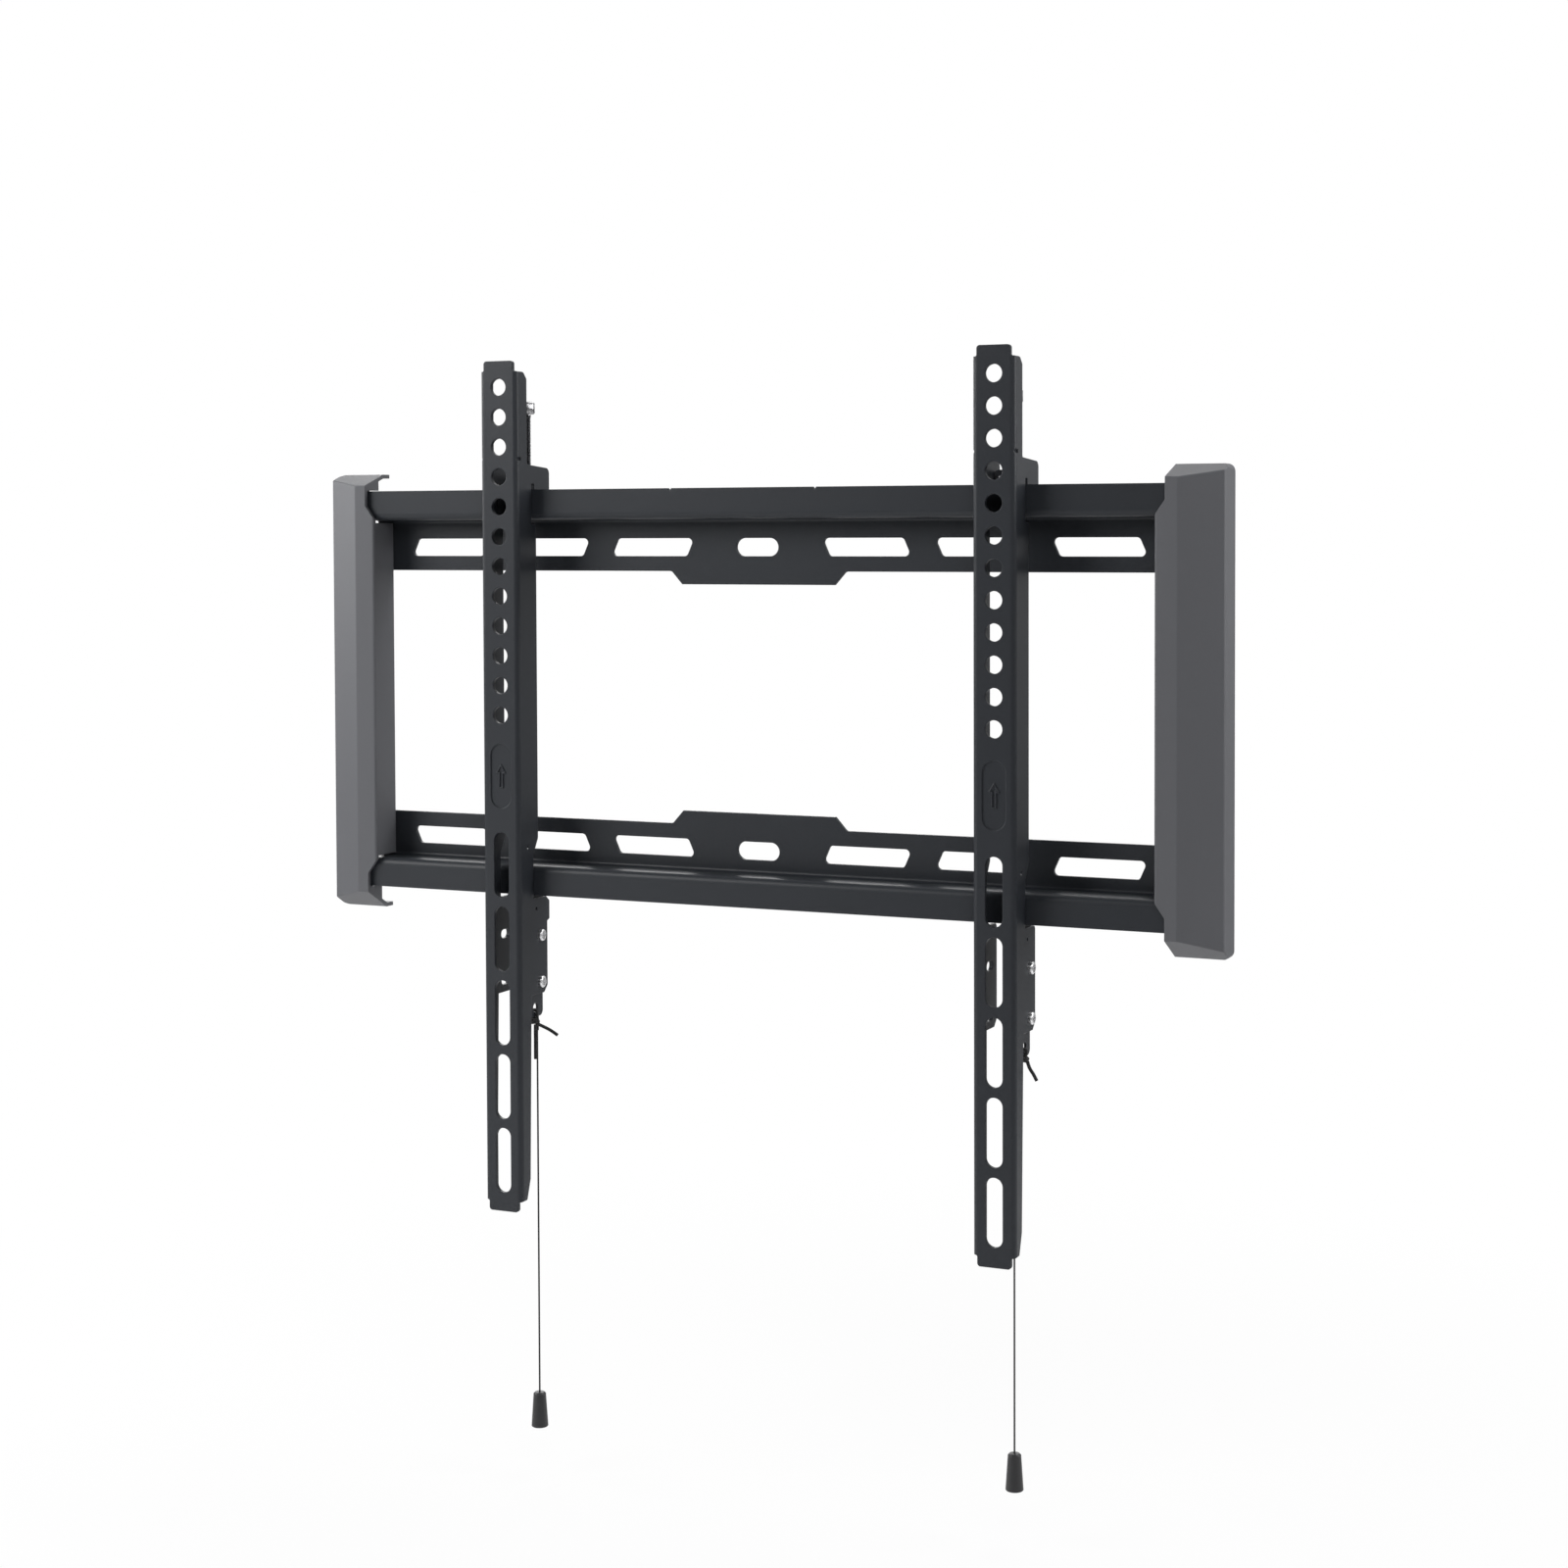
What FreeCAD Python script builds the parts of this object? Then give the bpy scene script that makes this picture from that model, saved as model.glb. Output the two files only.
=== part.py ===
import FreeCAD, Part
import math
import os

# Flat-screen wall mount: two folded rails and two end covers make the frame that is screwed to the wall,
# and two hook-on arms carry the screen. Each arm has a level screw and a sprung latch with a pull cord.
# Frame: X to the viewer's right, Y into the wall, Z up. The origin is on the wall, at the frame's centre.

# Sheet metal
SHEET = 2.0                  # thickness of the rails and arms
LATCH_SHEET = 1.2            # thickness of the latches
RAIL_BEND = 1.5              # inside radius of the rails' folds
ARM_BEND = 0.5               # inside radius of the arms' folds
SLIDE_GAP = 0.1              # face clearance of pieces that slide on each other
PIN_GAP = 0.05               # radial clearance of a pin that turns in its hole

# Rails
RAIL_HALF = 221.0            # half the rails' length
FLANGE_EDGE = 63.5           # height of the flanges' inner edges
TAB_EDGE = 56.9              # height of the centre tabs' edges
TAB_HALF = 41.6              # half the width of a centre tab at its edge
TAB_FOOT = 47.5              # half the width of a centre tab at its root
LIP_FRONT = 20.5             # lip's front face, out from the wall
UPPER_STEP = 89.5            # height of the upper rail's step, on its front side
UPPER_LIP = 104.8            # height of the upper lip's free edge
LOWER_STEP = 86.5            # the same two for the lower rail, measured downwards
LOWER_LIP = 101.4
SLOT_LEVEL = 75.5            # height of the screw slots' centre line
SLOT_HEIGHT = 9.0
CENTRE_SLOT_LENGTH = 23.1
SLOT_FIRST = 34.8            # inner end of the first slanted slot
SLOT_LENGTH = 47.3
SLOT_WEB = 11.9              # steel between two slanted slots
SLOT_MARGIN = 18.0           # least steel past the last slot
SLOT_LEAN = 4.0              # how far a slanted slot's two long sides are offset
SLOT_CORNER = 2.2
MARK_PLACE = 39.2            # drilling marks on the upper lip, from the centre
MARK_DEPTH = 1.5

# End covers
COVER_LAP = 11.0             # how far a cover's inner wall laps over the rails' ends
COVER_FLAT = 11.0            # width of the flat front face
COVER_SLOPE = 19.8           # width of the sloping front face
COVER_DRAFT = 0.7            # how far the outer wall leans out towards the wall
COVER_DEPTH = 24.2           # depth at the ridge between the two front faces
COVER_INNER_FALL = 0.6       # how much lower the front is at the inner wall
COVER_SIDE_DEPTH = 15.2      # depth at the outer wall
COVER_BACK = 0.5             # gap between the cover and the wall
COVER_WALL = 2.0
COVER_LAND = 6.5             # depth of the level land at each end, from where the end falls to the front
UPPER_ROOM = 8.9             # upper land above the upper lip
UPPER_FALL = 6.1             # fall of the upper end from the land to the ridge
LOWER_ROOM = 12.8            # the same two at the lower end
LOWER_FALL = 9.9
COVER_CORNER = 3.6           # outer corners, seen from the front
COVER_ROUND = 1.2
WINDOW_GAP = 1.2             # inner wall's clearance between the rails' steps
COVER_WALL_BACK = 5.0        # back edge of the inner wall, out from the wall
NOTCH_WIDTH = 5.0            # how far the front face is cut back round a lip
NOTCH_RISE = 7.0             # height of the cut-back's slanted end
NOTCH_START = 0.7            # start of the cut-back above the rail's step
NOTCH_ROUND = 1.5
GUSSET_BACK = 10.9           # back edge of the wall that closes the cut-back past a lip
GUSSET_GAP = 0.4             # its clearance over the lip
RIB_WIDTH = 2.5              # ribs and clips that hold a cover on the lips
CLIP_DEPTH = 2.0
CLIP_REACH = 7.0             # how far a clip reaches down behind its lip

# Arms
LEFT_ARM = -128.0            # where the arms hang on the rails
RIGHT_ARM = 136.4
ARM_WIDTH = 21.3
ARM_FRONT = 35.0             # front face, out from the wall
ARM_TOP = 164.0              # shoulders and end tabs
ARM_BOTTOM = 256.0
TAB_LENGTH = 5.2
TAB_WIDTH = 16.8
TAB_ROUND = 1.6
TOP_DEPTH = 10.0             # depth of the side flanges above the hook
MIDDLE_DEPTH = 18.6          # depth between the rails
LOW_DEPTH = 11.0             # depth just under the latch
FOOT_DEPTH = 8.8             # depth at the bottom
HOOK_RISE = 12.6             # top of the hook above the upper lip
HOOK_BACK = 2.6              # hook's back edge, out from the wall
HOOK_FALL = 1.6              # how far the hook's top edge falls towards the wall
HOOK_ROUND = 3.0
LIP_GAP = 0.5                # clearance of the lips in the arms' slots
LIFT = 2.9                   # height at which the level screw holds the hook above the lip
PRONG_GAP = 3.0              # hook's tip above the step
PLATE_ROUND = 1.0            # small corners of the side flanges
SHOULDER_ROUND = 0.8         # small corners of the front face's ends
CATCH_GAP = 2.2              # catch under the upper step
RELIEF_RISE = 2.6            # small bend reliefs on the front edges, above the hook's top
RELIEF_RADIUS = 0.9
LOWER_GAP = 0.7              # arm's clearance in front of the lower lip
MIDDLE_END = 14.0            # where the middle flange ends above the lower step
MIDDLE_ROUND = 6.0
HOLE_RADIUS = 4.25
HOLE_PITCH = 15.0
HOLE_MARGIN = 7.9            # first hole below the arm's shoulders
HOLE_COUNT = 12
ARM_SLOT_LENGTH = 33.0
ARM_SLOT_PITCH = 37.6
ARM_SLOT_FIRST = -84.8
ARM_SLOT_COUNT = 5
EMBOSS_LEVEL = -39.8         # pressed oblong with the up arrow
EMBOSS_LENGTH = 32.5
EMBOSS_WIDTH = 11.7
EMBOSS_DEPTH = 0.6
ARROW_HEIGHT = 12.0
ARROW_WIDTH = 5.6
ARROW_STEM = 2.4
ARROW_HEAD = 4.6
ARROW_LINE = 0.55

# Level screws
LEVEL_PLACE = 6.2            # screw's axis, out from the wall
LEVEL_RADIUS = 2.0
LEVEL_HEAD_RADIUS = 4.0
LEVEL_HEAD_RISE = 26.1       # underside of the head above the hook's top
LEVEL_HEAD_HEIGHT = 6.4
LEVEL_KNURLS = 18
LEVEL_KNURL_RADIUS = 0.45
TIP_GAP = 0.3
BRIDGE_DROP = 8.4            # underside of the screw's threaded bridge, below the hook's top
BRIDGE_THICK = 3.0
BRIDGE_DEPTH = 7.2
BRIDGE_EAR = 6.0

# Latches
EXTENSION_TOP = 1.8          # top of the arm's latch plate, below the lower lip
EXTENSION_BACK = 7.5         # its back edge, out from the wall
EXTENSION_LENGTH = 49.2
EXTENSION_CORNER = 3.5
EXTENSION_ROUND = 2.0
LATCH_TRAVEL = 13.0
LATCH_REACH = 7.5            # tip of the latch's hook above the lower lip's edge
LATCH_LIP_GAP = 0.9          # latch hook's clearance behind the lower lip
LATCH_HOOK_BACK = 1.5        # hook's back edge, out from the wall
LATCH_CAM_DROP = 5.0         # foot of the hook's sloping top below the lip
LATCH_HOOK_DROP = 14.4       # foot of the hook below the lip
LATCH_HOOK_FALL = 1.5        # fall of the hook's underside
LATCH_BACK = 6.0
LATCH_FRONT = 22.0
LATCH_ROUND = 1.0
TONGUE_BACK = 9.0
TONGUE_GAP = 0.6             # start of the tongue below the arm's latch plate
TONGUE_LENGTH = 11.4
TONGUE_CORNER = 3.0
SCREW_PLACE = 14.2           # latch screws, out from the wall
SCREW_DROPS = (21.1, 45.0)   # latch screws below the lower lip
SCREW_RADIUS = 1.5
SCREW_HEAD_RADIUS = 3.0
SCREW_HEAD_HEIGHT = 1.9
SCREW_CROSS = 0.7            # cross recess: width, reach and depth
SCREW_CROSS_REACH = 1.9
SCREW_CROSS_DEPTH = 0.9
SCREW_SLOT_GAP = 0.25
ACCESS_PLACE = 16.8          # slots in the far flange opposite the screws, out from the wall
ACCESS_LENGTH = 8.6
ACCESS_HEIGHT = 4.6
NUT_RADIUS = 3.1
NUT_HEIGHT = 2.4
PIN_HOLE_RADIUS = 1.0        # assembly pin hole through the plate and the latch
PIN_HOLE_PLACE = 18.4
PIN_HOLE_DROP = 7.0

# Latch springs
SPRING_PLACE = 26.7          # spring's axis, out from the wall
SPRING_RISE = 10.1           # hole in the arm that holds its upper end, above the lower step
SPRING_DROP = 11.6           # hole in the latch's ear that holds its lower end, below the lip
SPRING_HOLE_RADIUS = 1.0
SPRING_RADIUS = 2.0
SPRING_WIRE = 0.35           # wire radius
SPRING_COILS = 12
SPRING_EYE = 4.0             # straight wire between the coils and an end
SPRING_OFFSET = 0.4          # coils' clearance beside the latch
EAR_HALF = 3.5
EAR_ROUND = 1.5

# Pull cords
CORD_RADIUS = 0.45           # hanging cord
LOOP_RADIUS = 0.7            # thicker cord of the loop and its tails
CORD_HOLE_RADIUS = 2.4
CORD_HOLE_PLACE = 16.5
CORD_HOLE_DROP = 6.7         # cord's hole below the tongue's start
CORD_LOOP_DROP = 0.35        # centre of the loop's bend below the hole's lower edge
CORD_SIDE_GAP = 0.25         # loop's clearance beside the tongue
KNOT_DROP = 4.4              # knot's centre below the tongue
KNOT_RADIUS = 2.2
KNOT_ROUND = 1.2
KNOT_CHEEK = 0.9             # how far the knot stands out beside the loop
LEFT_TAILS = (((0.84, 0.10, -0.53), 12.0), ((-0.01, 0.06, -1.0), 17.5))
RIGHT_TAILS = (((0.52, 0.10, -0.85), 12.0),)
LEFT_CORD = 189.2            # hanging cords, from the knot to the bell
RIGHT_CORD = 185.2
LEFT_SHIFT = 0.0             # how far each cord is drawn aside, behind its arm
RIGHT_SHIFT = -3.0
SHIFT_DROP = 10.0            # start of that bend below the knot, and its height
SHIFT_HEIGHT = 60.0
BELL_LENGTH = 17.8
BELL_TOP_RADIUS = 3.2
BELL_LOW_RADIUS = 4.3
BELL_ROUND = 0.8
BELL_BORE = 3.0
BELL_ROOF = 6.0
STOP_KNOT_RADIUS = 1.7

BIG = 400.0                  # reach of a cutter past every solid

# Places that follow from the sizes above
SLOT_PITCH = SLOT_LENGTH + SLOT_WEB
SLOTS_PER_SIDE = int((RAIL_HALF - SLOT_MARGIN - SLOT_FIRST + SLOT_WEB) / SLOT_PITCH)
COVER_INNER = RAIL_HALF - COVER_LAP
COVER_INNER_DEPTH = COVER_DEPTH - COVER_INNER_FALL
COVER_RIDGE = COVER_INNER + COVER_FLAT
COVER_OUTER = COVER_RIDGE + COVER_SLOPE
COVER_ENDS = {1: (UPPER_LIP + UPPER_ROOM, UPPER_FALL), -1: (LOWER_LIP + LOWER_ROOM, LOWER_FALL)}
HOOK_TOP = UPPER_LIP + HOOK_RISE
RELIEF_LEVEL = HOOK_TOP + RELIEF_RISE
HOLE_FIRST = ARM_TOP - HOLE_MARGIN
LEVEL_HEAD_LOW = HOOK_TOP + LEVEL_HEAD_RISE
BRIDGE_LEVEL = HOOK_TOP - BRIDGE_DROP
EXTENSION_BOTTOM = LOWER_LIP + EXTENSION_TOP + EXTENSION_LENGTH
LATCH_HOOK_LOW = LOWER_LIP + LATCH_HOOK_DROP
TONGUE_TOP = EXTENSION_BOTTOM + TONGUE_GAP
TONGUE_BOTTOM = TONGUE_TOP + TONGUE_LENGTH
SCREW_LEVELS = [LOWER_LIP + drop for drop in SCREW_DROPS]
PIN_HOLE_LEVEL = LOWER_LIP + PIN_HOLE_DROP
SPRING_TOP = LOWER_STEP - SPRING_RISE
SPRING_LOW = LOWER_LIP + SPRING_DROP
CORD_HOLE_LEVEL = TONGUE_TOP + CORD_HOLE_DROP
KNOT_LEVEL = TONGUE_BOTTOM + KNOT_DROP


def vector(x, y, z):
    """A point or a direction."""
    return FreeCAD.Vector(x, y, z)


def side_plane(x):
    """Places (depth out from the wall, height) pairs on an upright plane across the wall."""
    return lambda depth, height: vector(x, -depth, height)


def wall_plane(depth):
    """Places (x, height) pairs on a plane parallel to the wall."""
    return lambda x, height: vector(x, -depth, height)


def floor_plane(height):
    """Places (x, depth out from the wall) pairs on a level plane."""
    return lambda x, depth: vector(x, -depth, height)


def rounded_wire(corners, place):
    """Closed wire through corners given as (a, b, radius), with an arc where the radius isn't zero."""
    arcs = []
    for i, (a, b, radius) in enumerate(corners):
        point = vector(a, b, 0)
        before = vector(*corners[i - 1][:2], 0) - point
        after = vector(*corners[(i + 1) % len(corners)][:2], 0) - point
        if radius == 0:
            arcs.append((point, None, point))
            continue
        half = before.getAngle(after) / 2
        reach = radius / math.tan(half)
        before.normalize()
        after.normalize()
        middle = before + after
        middle.normalize()
        crown = point + middle * (radius / math.sin(half) - radius)
        arcs.append((point + before * reach, crown, point + after * reach))
    edges = []
    for i, (start, crown, end) in enumerate(arcs):
        if crown is not None:
            edges.append(Part.Arc(*(place(p.x, p.y) for p in (start, crown, end))).toShape())
        following = arcs[(i + 1) % len(arcs)][0]
        if end.distanceToPoint(following) > 1e-6:
            edges.append(Part.LineSegment(place(end.x, end.y), place(following.x, following.y)).toShape())
    return Part.Wire(edges)


def slab(corners, place, direction):
    """Solid made by pushing a rounded outline along a direction."""
    return Part.Face(rounded_wire(corners, place)).extrude(direction)


def plain(points):
    """Corners with no rounding."""
    return [(a, b, 0) for a, b in points]


def rectangle(low_a, high_a, low_b, high_b, radius=0):
    """Corners of a rectangle, all with one radius."""
    corners = ((low_a, low_b), (high_a, low_b), (high_a, high_b), (low_a, high_b))
    return [(a, b, radius) for a, b in corners]


def box(low_x, high_x, near, far, low_z, high_z):
    """Box from its sides, with the depth from near to far out from the wall."""
    return Part.makeBox(high_x - low_x, far - near, high_z - low_z, vector(low_x, -far, low_z))


def rod(radius, start, end):
    """Round rod between two points."""
    return Part.makeCylinder(radius, (end - start).Length, start, end - start)


def turned(points, centre_x, depth):
    """Solid of revolution about an upright axis, from (radius, height) points."""
    outline = Part.makePolygon([vector(centre_x + r, -depth, z) for r, z in points + points[:1]])
    return Part.Face(outline).revolve(vector(centre_x, -depth, 0), vector(0, 0, 1), 360)


def fused(pieces):
    """One solid from pieces that meet, with the seams taken out."""
    return pieces[0].multiFuse(pieces[1:]).removeSplitter()


def make_rail(side, step, lip):
    """Folded rail: slotted wall flange, step and lip. Side is 1 for the upper rail and -1 for the lower."""
    outer_bend = RAIL_BEND + SHEET
    profile = [
        (SHEET, side * TAB_EDGE, 0), (SHEET, side * step, RAIL_BEND),
        (LIP_FRONT, side * step, outer_bend), (LIP_FRONT, side * lip, 0),
        (LIP_FRONT - SHEET, side * lip, 0), (LIP_FRONT - SHEET, side * (step + SHEET), RAIL_BEND),
        (0, side * (step + SHEET), outer_bend), (0, side * TAB_EDGE, 0)]
    rail = slab(profile, side_plane(-RAIL_HALF), vector(2 * RAIL_HALF, 0, 0))
    centre = rectangle(-CENTRE_SLOT_LENGTH / 2, CENTRE_SLOT_LENGTH / 2, SLOT_LEVEL - SLOT_HEIGHT / 2,
                       SLOT_LEVEL + SLOT_HEIGHT / 2, SLOT_HEIGHT / 2)
    openings = [centre]
    for hand in (-1, 1):
        openings.append([
            (hand * TAB_FOOT, FLANGE_EDGE, SLOT_CORNER), (hand * TAB_HALF, TAB_EDGE, 0),
            (hand * TAB_HALF, TAB_EDGE - SHEET, 0), (hand * BIG, TAB_EDGE - SHEET, 0),
            (hand * BIG, FLANGE_EDGE, 0)])
        for i in range(SLOTS_PER_SIDE):
            start = SLOT_FIRST + i * SLOT_PITCH
            end = start + SLOT_LENGTH
            low, high = SLOT_LEVEL - SLOT_HEIGHT / 2, SLOT_LEVEL + SLOT_HEIGHT / 2
            openings.append([
                (hand * (start + SLOT_LEAN), low, SLOT_CORNER), (hand * end, low, SLOT_CORNER),
                (hand * (end - SLOT_LEAN), high, SLOT_CORNER), (hand * start, high, SLOT_CORNER)])
    for corners in openings:
        corners = [(x, side * height, radius) for x, height, radius in corners]
        rail = rail.cut(slab(corners, wall_plane(2 * SHEET), vector(0, 3 * SHEET, 0)))
    return rail


def add_marks(rail):
    """Upper rail with a small notch in the lip's edge each side of the centre."""
    for hand in (-1, 1):
        x = hand * MARK_PLACE
        notch = plain([(x - MARK_DEPTH, UPPER_LIP + MARK_DEPTH / 2), (x, UPPER_LIP - MARK_DEPTH),
                       (x + MARK_DEPTH, UPPER_LIP + MARK_DEPTH / 2)])
        rail = rail.cut(slab(notch, wall_plane(LIP_FRONT + SHEET), vector(0, 3 * SHEET, 0)))
    return rail


def cover_edge(end, inset):
    """One end's line from the side, as (depth, height): the land, then the fall, less an inset."""
    land, fall = COVER_ENDS[end]
    slope = fall / (COVER_DEPTH - COVER_LAND)
    turn = COVER_LAND - inset * (math.sqrt(1 + slope ** 2) - 1) / slope
    far = 2 * COVER_DEPTH
    heights = (land - inset, land - inset, land - inset - slope * (far - turn))
    return [(depth, end * height) for depth, height in zip((-far, turn, far), heights)]


def cover_block(section, inset):
    """Section pushed to the cover's height, with both ends cut to their lines from the side."""
    block = slab(section, floor_plane(-BIG), vector(0, 0, 2 * BIG))
    profile = plain(cover_edge(1, inset) + cover_edge(-1, inset)[::-1])
    return block.common(slab(profile, side_plane(0), vector(BIG, 0, 0)))


def cover_outline(inset):
    """Cover from the front, with round outer corners, pushed through its depth."""
    side = COVER_OUTER + COVER_DRAFT - inset
    top, low = COVER_ENDS[1][0] - inset, -COVER_ENDS[-1][0] + inset
    corner = COVER_CORNER - inset
    outline = [(0, low, 0), (side, low, corner), (side, top, corner), (0, top, 0)]
    return slab(outline, wall_plane(2 * COVER_DEPTH), vector(0, 3 * COVER_DEPTH, 0))


def cover_rim_edge(edge):
    """True for an edge between a cover's falling end and its front faces."""
    inside = edge.BoundBox
    level = (inside.ZMin + inside.ZMax) / 2
    land, fall = COVER_ENDS[1 if level > 0 else -1]
    at_end = abs(level) > land - fall - COVER_ROUND and inside.ZLength < fall
    return at_end and inside.YMax < -COVER_LAND - COVER_ROUND


def make_cover():
    """Moulded end cover of the right-hand side: faceted shell, cut back and clipped round both lips."""
    lean = COVER_DRAFT / (COVER_SIDE_DEPTH - COVER_BACK)
    slope = (COVER_DEPTH - COVER_SIDE_DEPTH) / COVER_SLOPE
    outer = [(COVER_INNER, COVER_BACK, 0), (COVER_OUTER + COVER_DRAFT, COVER_BACK, 0),
             (COVER_OUTER, COVER_SIDE_DEPTH, COVER_ROUND), (COVER_RIDGE, COVER_DEPTH, COVER_ROUND),
             (COVER_INNER, COVER_INNER_DEPTH, COVER_ROUND)]
    face_drop = COVER_WALL * math.sqrt(1 + slope ** 2)
    inner_out = COVER_OUTER - COVER_WALL
    inner = plain([
        (COVER_INNER + COVER_WALL, -COVER_WALL),
        (inner_out + lean * (COVER_SIDE_DEPTH + COVER_WALL), -COVER_WALL),
        (inner_out, COVER_SIDE_DEPTH + slope * COVER_WALL - face_drop),
        (COVER_RIDGE, COVER_DEPTH - face_drop),
        (COVER_INNER + COVER_WALL, COVER_INNER_DEPTH - COVER_WALL)])
    block = cover_block(outer, 0)
    rim = [edge for edge in block.Edges if cover_rim_edge(edge)]
    block = block.makeFillet(COVER_ROUND / 2, rim).common(cover_outline(0))
    shell = block.cut(cover_block(inner, COVER_WALL).common(cover_outline(COVER_WALL)))
    wall_end = COVER_INNER + COVER_WALL
    shell = shell.cut(box(COVER_INNER - 1, wall_end, -1, COVER_WALL_BACK, -BIG, BIG))
    pieces = []
    for end, step, lip in ((1, UPPER_STEP, UPPER_LIP), (-1, LOWER_STEP, LOWER_LIP)):
        shell = shell.cut(cover_window(end, step)).cut(cover_notch(end, step))
        pieces += cover_grips(end, step, lip, block)
    return fused([shell] + pieces)


def cover_window(end, step):
    """Cutter for the inner wall where a rail passes."""
    inside = rectangle(COVER_INNER - 1, COVER_INNER + COVER_WALL, end * (step - WINDOW_GAP), end * BIG)
    return slab(inside, wall_plane(-1), vector(0, -(COVER_INNER_DEPTH - COVER_WALL + 1), 0))


def cover_notch(end, step):
    """Cutter for the cut-back of the front face round a lip, with a slanted start."""
    start = end * (step + NOTCH_START)
    high = end * (step + NOTCH_START + NOTCH_RISE)
    edge = COVER_INNER + NOTCH_WIDTH
    corners = [(COVER_INNER - 1, start, 0), (COVER_INNER, start, 0), (edge, high, NOTCH_ROUND),
               (edge, end * BIG, 0), (COVER_INNER - 1, end * BIG, 0)]
    return slab(corners, wall_plane(2 * COVER_DEPTH), vector(0, 3 * COVER_DEPTH, 0))


def cover_grips(end, step, lip, block):
    """Wall that closes the cut-back past a lip, and the rib and the clip that grip the lip."""
    edge = COVER_INNER + NOTCH_WIDTH
    start = edge + COVER_WALL
    past = slab(rectangle(GUSSET_BACK, BIG, end * (lip + GUSSET_GAP), end * BIG), side_plane(edge),
                vector(COVER_WALL, 0, 0))
    across = vector(RIB_WIDTH, 0, 0)
    rib_low = end * (step + SHEET + RAIL_BEND)
    rib = rectangle(LIP_FRONT, COVER_INNER_DEPTH - COVER_WALL / 2, rib_low, end * lip)
    back = LIP_FRONT - SHEET - SLIDE_GAP
    clip = rectangle(back - CLIP_DEPTH, back, end * (lip - CLIP_REACH), end * BIG)
    solids = [slab(outline, side_plane(start), across) for outline in (rib, clip)]
    return [past.common(block)] + [solid.common(block) for solid in solids]


def arm_side():
    """Outline of an arm from the side, as (depth out from the wall, height, radius)."""
    skin = ARM_FRONT - SHEET
    top_back = ARM_FRONT - TOP_DEPTH
    slot_front = LIP_FRONT + LIP_GAP
    slot_back = LIP_FRONT - SHEET - LIP_GAP
    middle_back = ARM_FRONT - MIDDLE_DEPTH
    catch = UPPER_STEP - CATCH_GAP
    prong = UPPER_STEP + SHEET + PRONG_GAP
    lower_front = LIP_FRONT + LOWER_GAP
    plate_top = -(LOWER_LIP + EXTENSION_TOP)
    corner = EXTENSION_CORNER
    small = PLATE_ROUND
    low_tab = -(ARM_BOTTOM + TAB_LENGTH)
    foot_back = ARM_FRONT - FOOT_DEPTH
    return [
        (ARM_FRONT, ARM_TOP + TAB_LENGTH, 0), (skin, ARM_TOP + TAB_LENGTH, 0), (skin, ARM_TOP, 0),
        (top_back + corner, ARM_TOP, small), (top_back, ARM_TOP - corner, small),
        (top_back, HOOK_TOP, small),
        (HOOK_BACK, HOOK_TOP - HOOK_FALL, HOOK_ROUND), (HOOK_BACK, prong, small),
        (slot_back, prong, small), (slot_back, UPPER_LIP + LIFT, 0), (slot_front, UPPER_LIP + LIFT, 0),
        (slot_front, catch, 0), (middle_back, catch, small),
        (middle_back, -(LOWER_STEP - MIDDLE_END), MIDDLE_ROUND / 2),
        (lower_front, -(LOWER_STEP - MIDDLE_ROUND), small),
        (lower_front, plate_top, 0), (EXTENSION_BACK, plate_top, EXTENSION_ROUND),
        (EXTENSION_BACK, -(EXTENSION_BOTTOM - corner), EXTENSION_ROUND),
        (EXTENSION_BACK + corner, -EXTENSION_BOTTOM, small), (ARM_FRONT - LOW_DEPTH, -EXTENSION_BOTTOM, 0),
        (foot_back, -(ARM_BOTTOM - 3 * corner), small), (foot_back + corner, -ARM_BOTTOM, small),
        (skin, -ARM_BOTTOM, 0), (skin, low_tab, 0), (ARM_FRONT, low_tab, 0)]


def arm_front(centre):
    """Outline of an arm from the front, with a narrower tab at each end."""
    half, tab = ARM_WIDTH / 2, TAB_WIDTH / 2
    small = SHOULDER_ROUND
    upper = [(half, ARM_TOP, small), (tab, ARM_TOP, small), (tab, ARM_TOP + TAB_LENGTH, TAB_ROUND)]
    low_tab = -(ARM_BOTTOM + TAB_LENGTH)
    lower = [(half, -ARM_BOTTOM, small), (tab, -ARM_BOTTOM, small), (tab, low_tab, TAB_ROUND)]
    right = lower[::-1] + upper
    left = [(-x, height, radius) for x, height, radius in right[::-1]]
    return [(centre + x, height, radius) for x, height, radius in right + left]


def arm_emboss(centre):
    """Cutter for the pressed oblong, with an outlined arrow left standing in it."""
    wide, tall = EMBOSS_WIDTH / 2, EMBOSS_LENGTH / 2
    oblong = rectangle(centre - wide, centre + wide, EMBOSS_LEVEL - tall, EMBOSS_LEVEL + tall, wide)
    floor = ARM_FRONT - EMBOSS_DEPTH
    push = vector(0, -2 * EMBOSS_DEPTH, 0)

    def arrow(line):
        """Arrow outline drawn in by a line's width, pointing up."""
        tip = EMBOSS_LEVEL + ARROW_HEIGHT / 2 - 1.7 * line
        foot = EMBOSS_LEVEL - ARROW_HEIGHT / 2 + line
        barb = EMBOSS_LEVEL + ARROW_HEIGHT / 2 - ARROW_HEAD + line
        half, stem = ARROW_WIDTH / 2 - 1.7 * line, ARROW_STEM / 2 - line
        return plain([(centre, tip), (centre + half, barb), (centre + stem, barb), (centre + stem, foot),
                      (centre - stem, foot), (centre - stem, barb), (centre - half, barb)])

    outside = slab(arrow(0), wall_plane(floor), push)
    inside = slab(arrow(ARROW_LINE), wall_plane(floor), push)
    return slab(oblong, wall_plane(floor), push).cut(outside.cut(inside))


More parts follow.
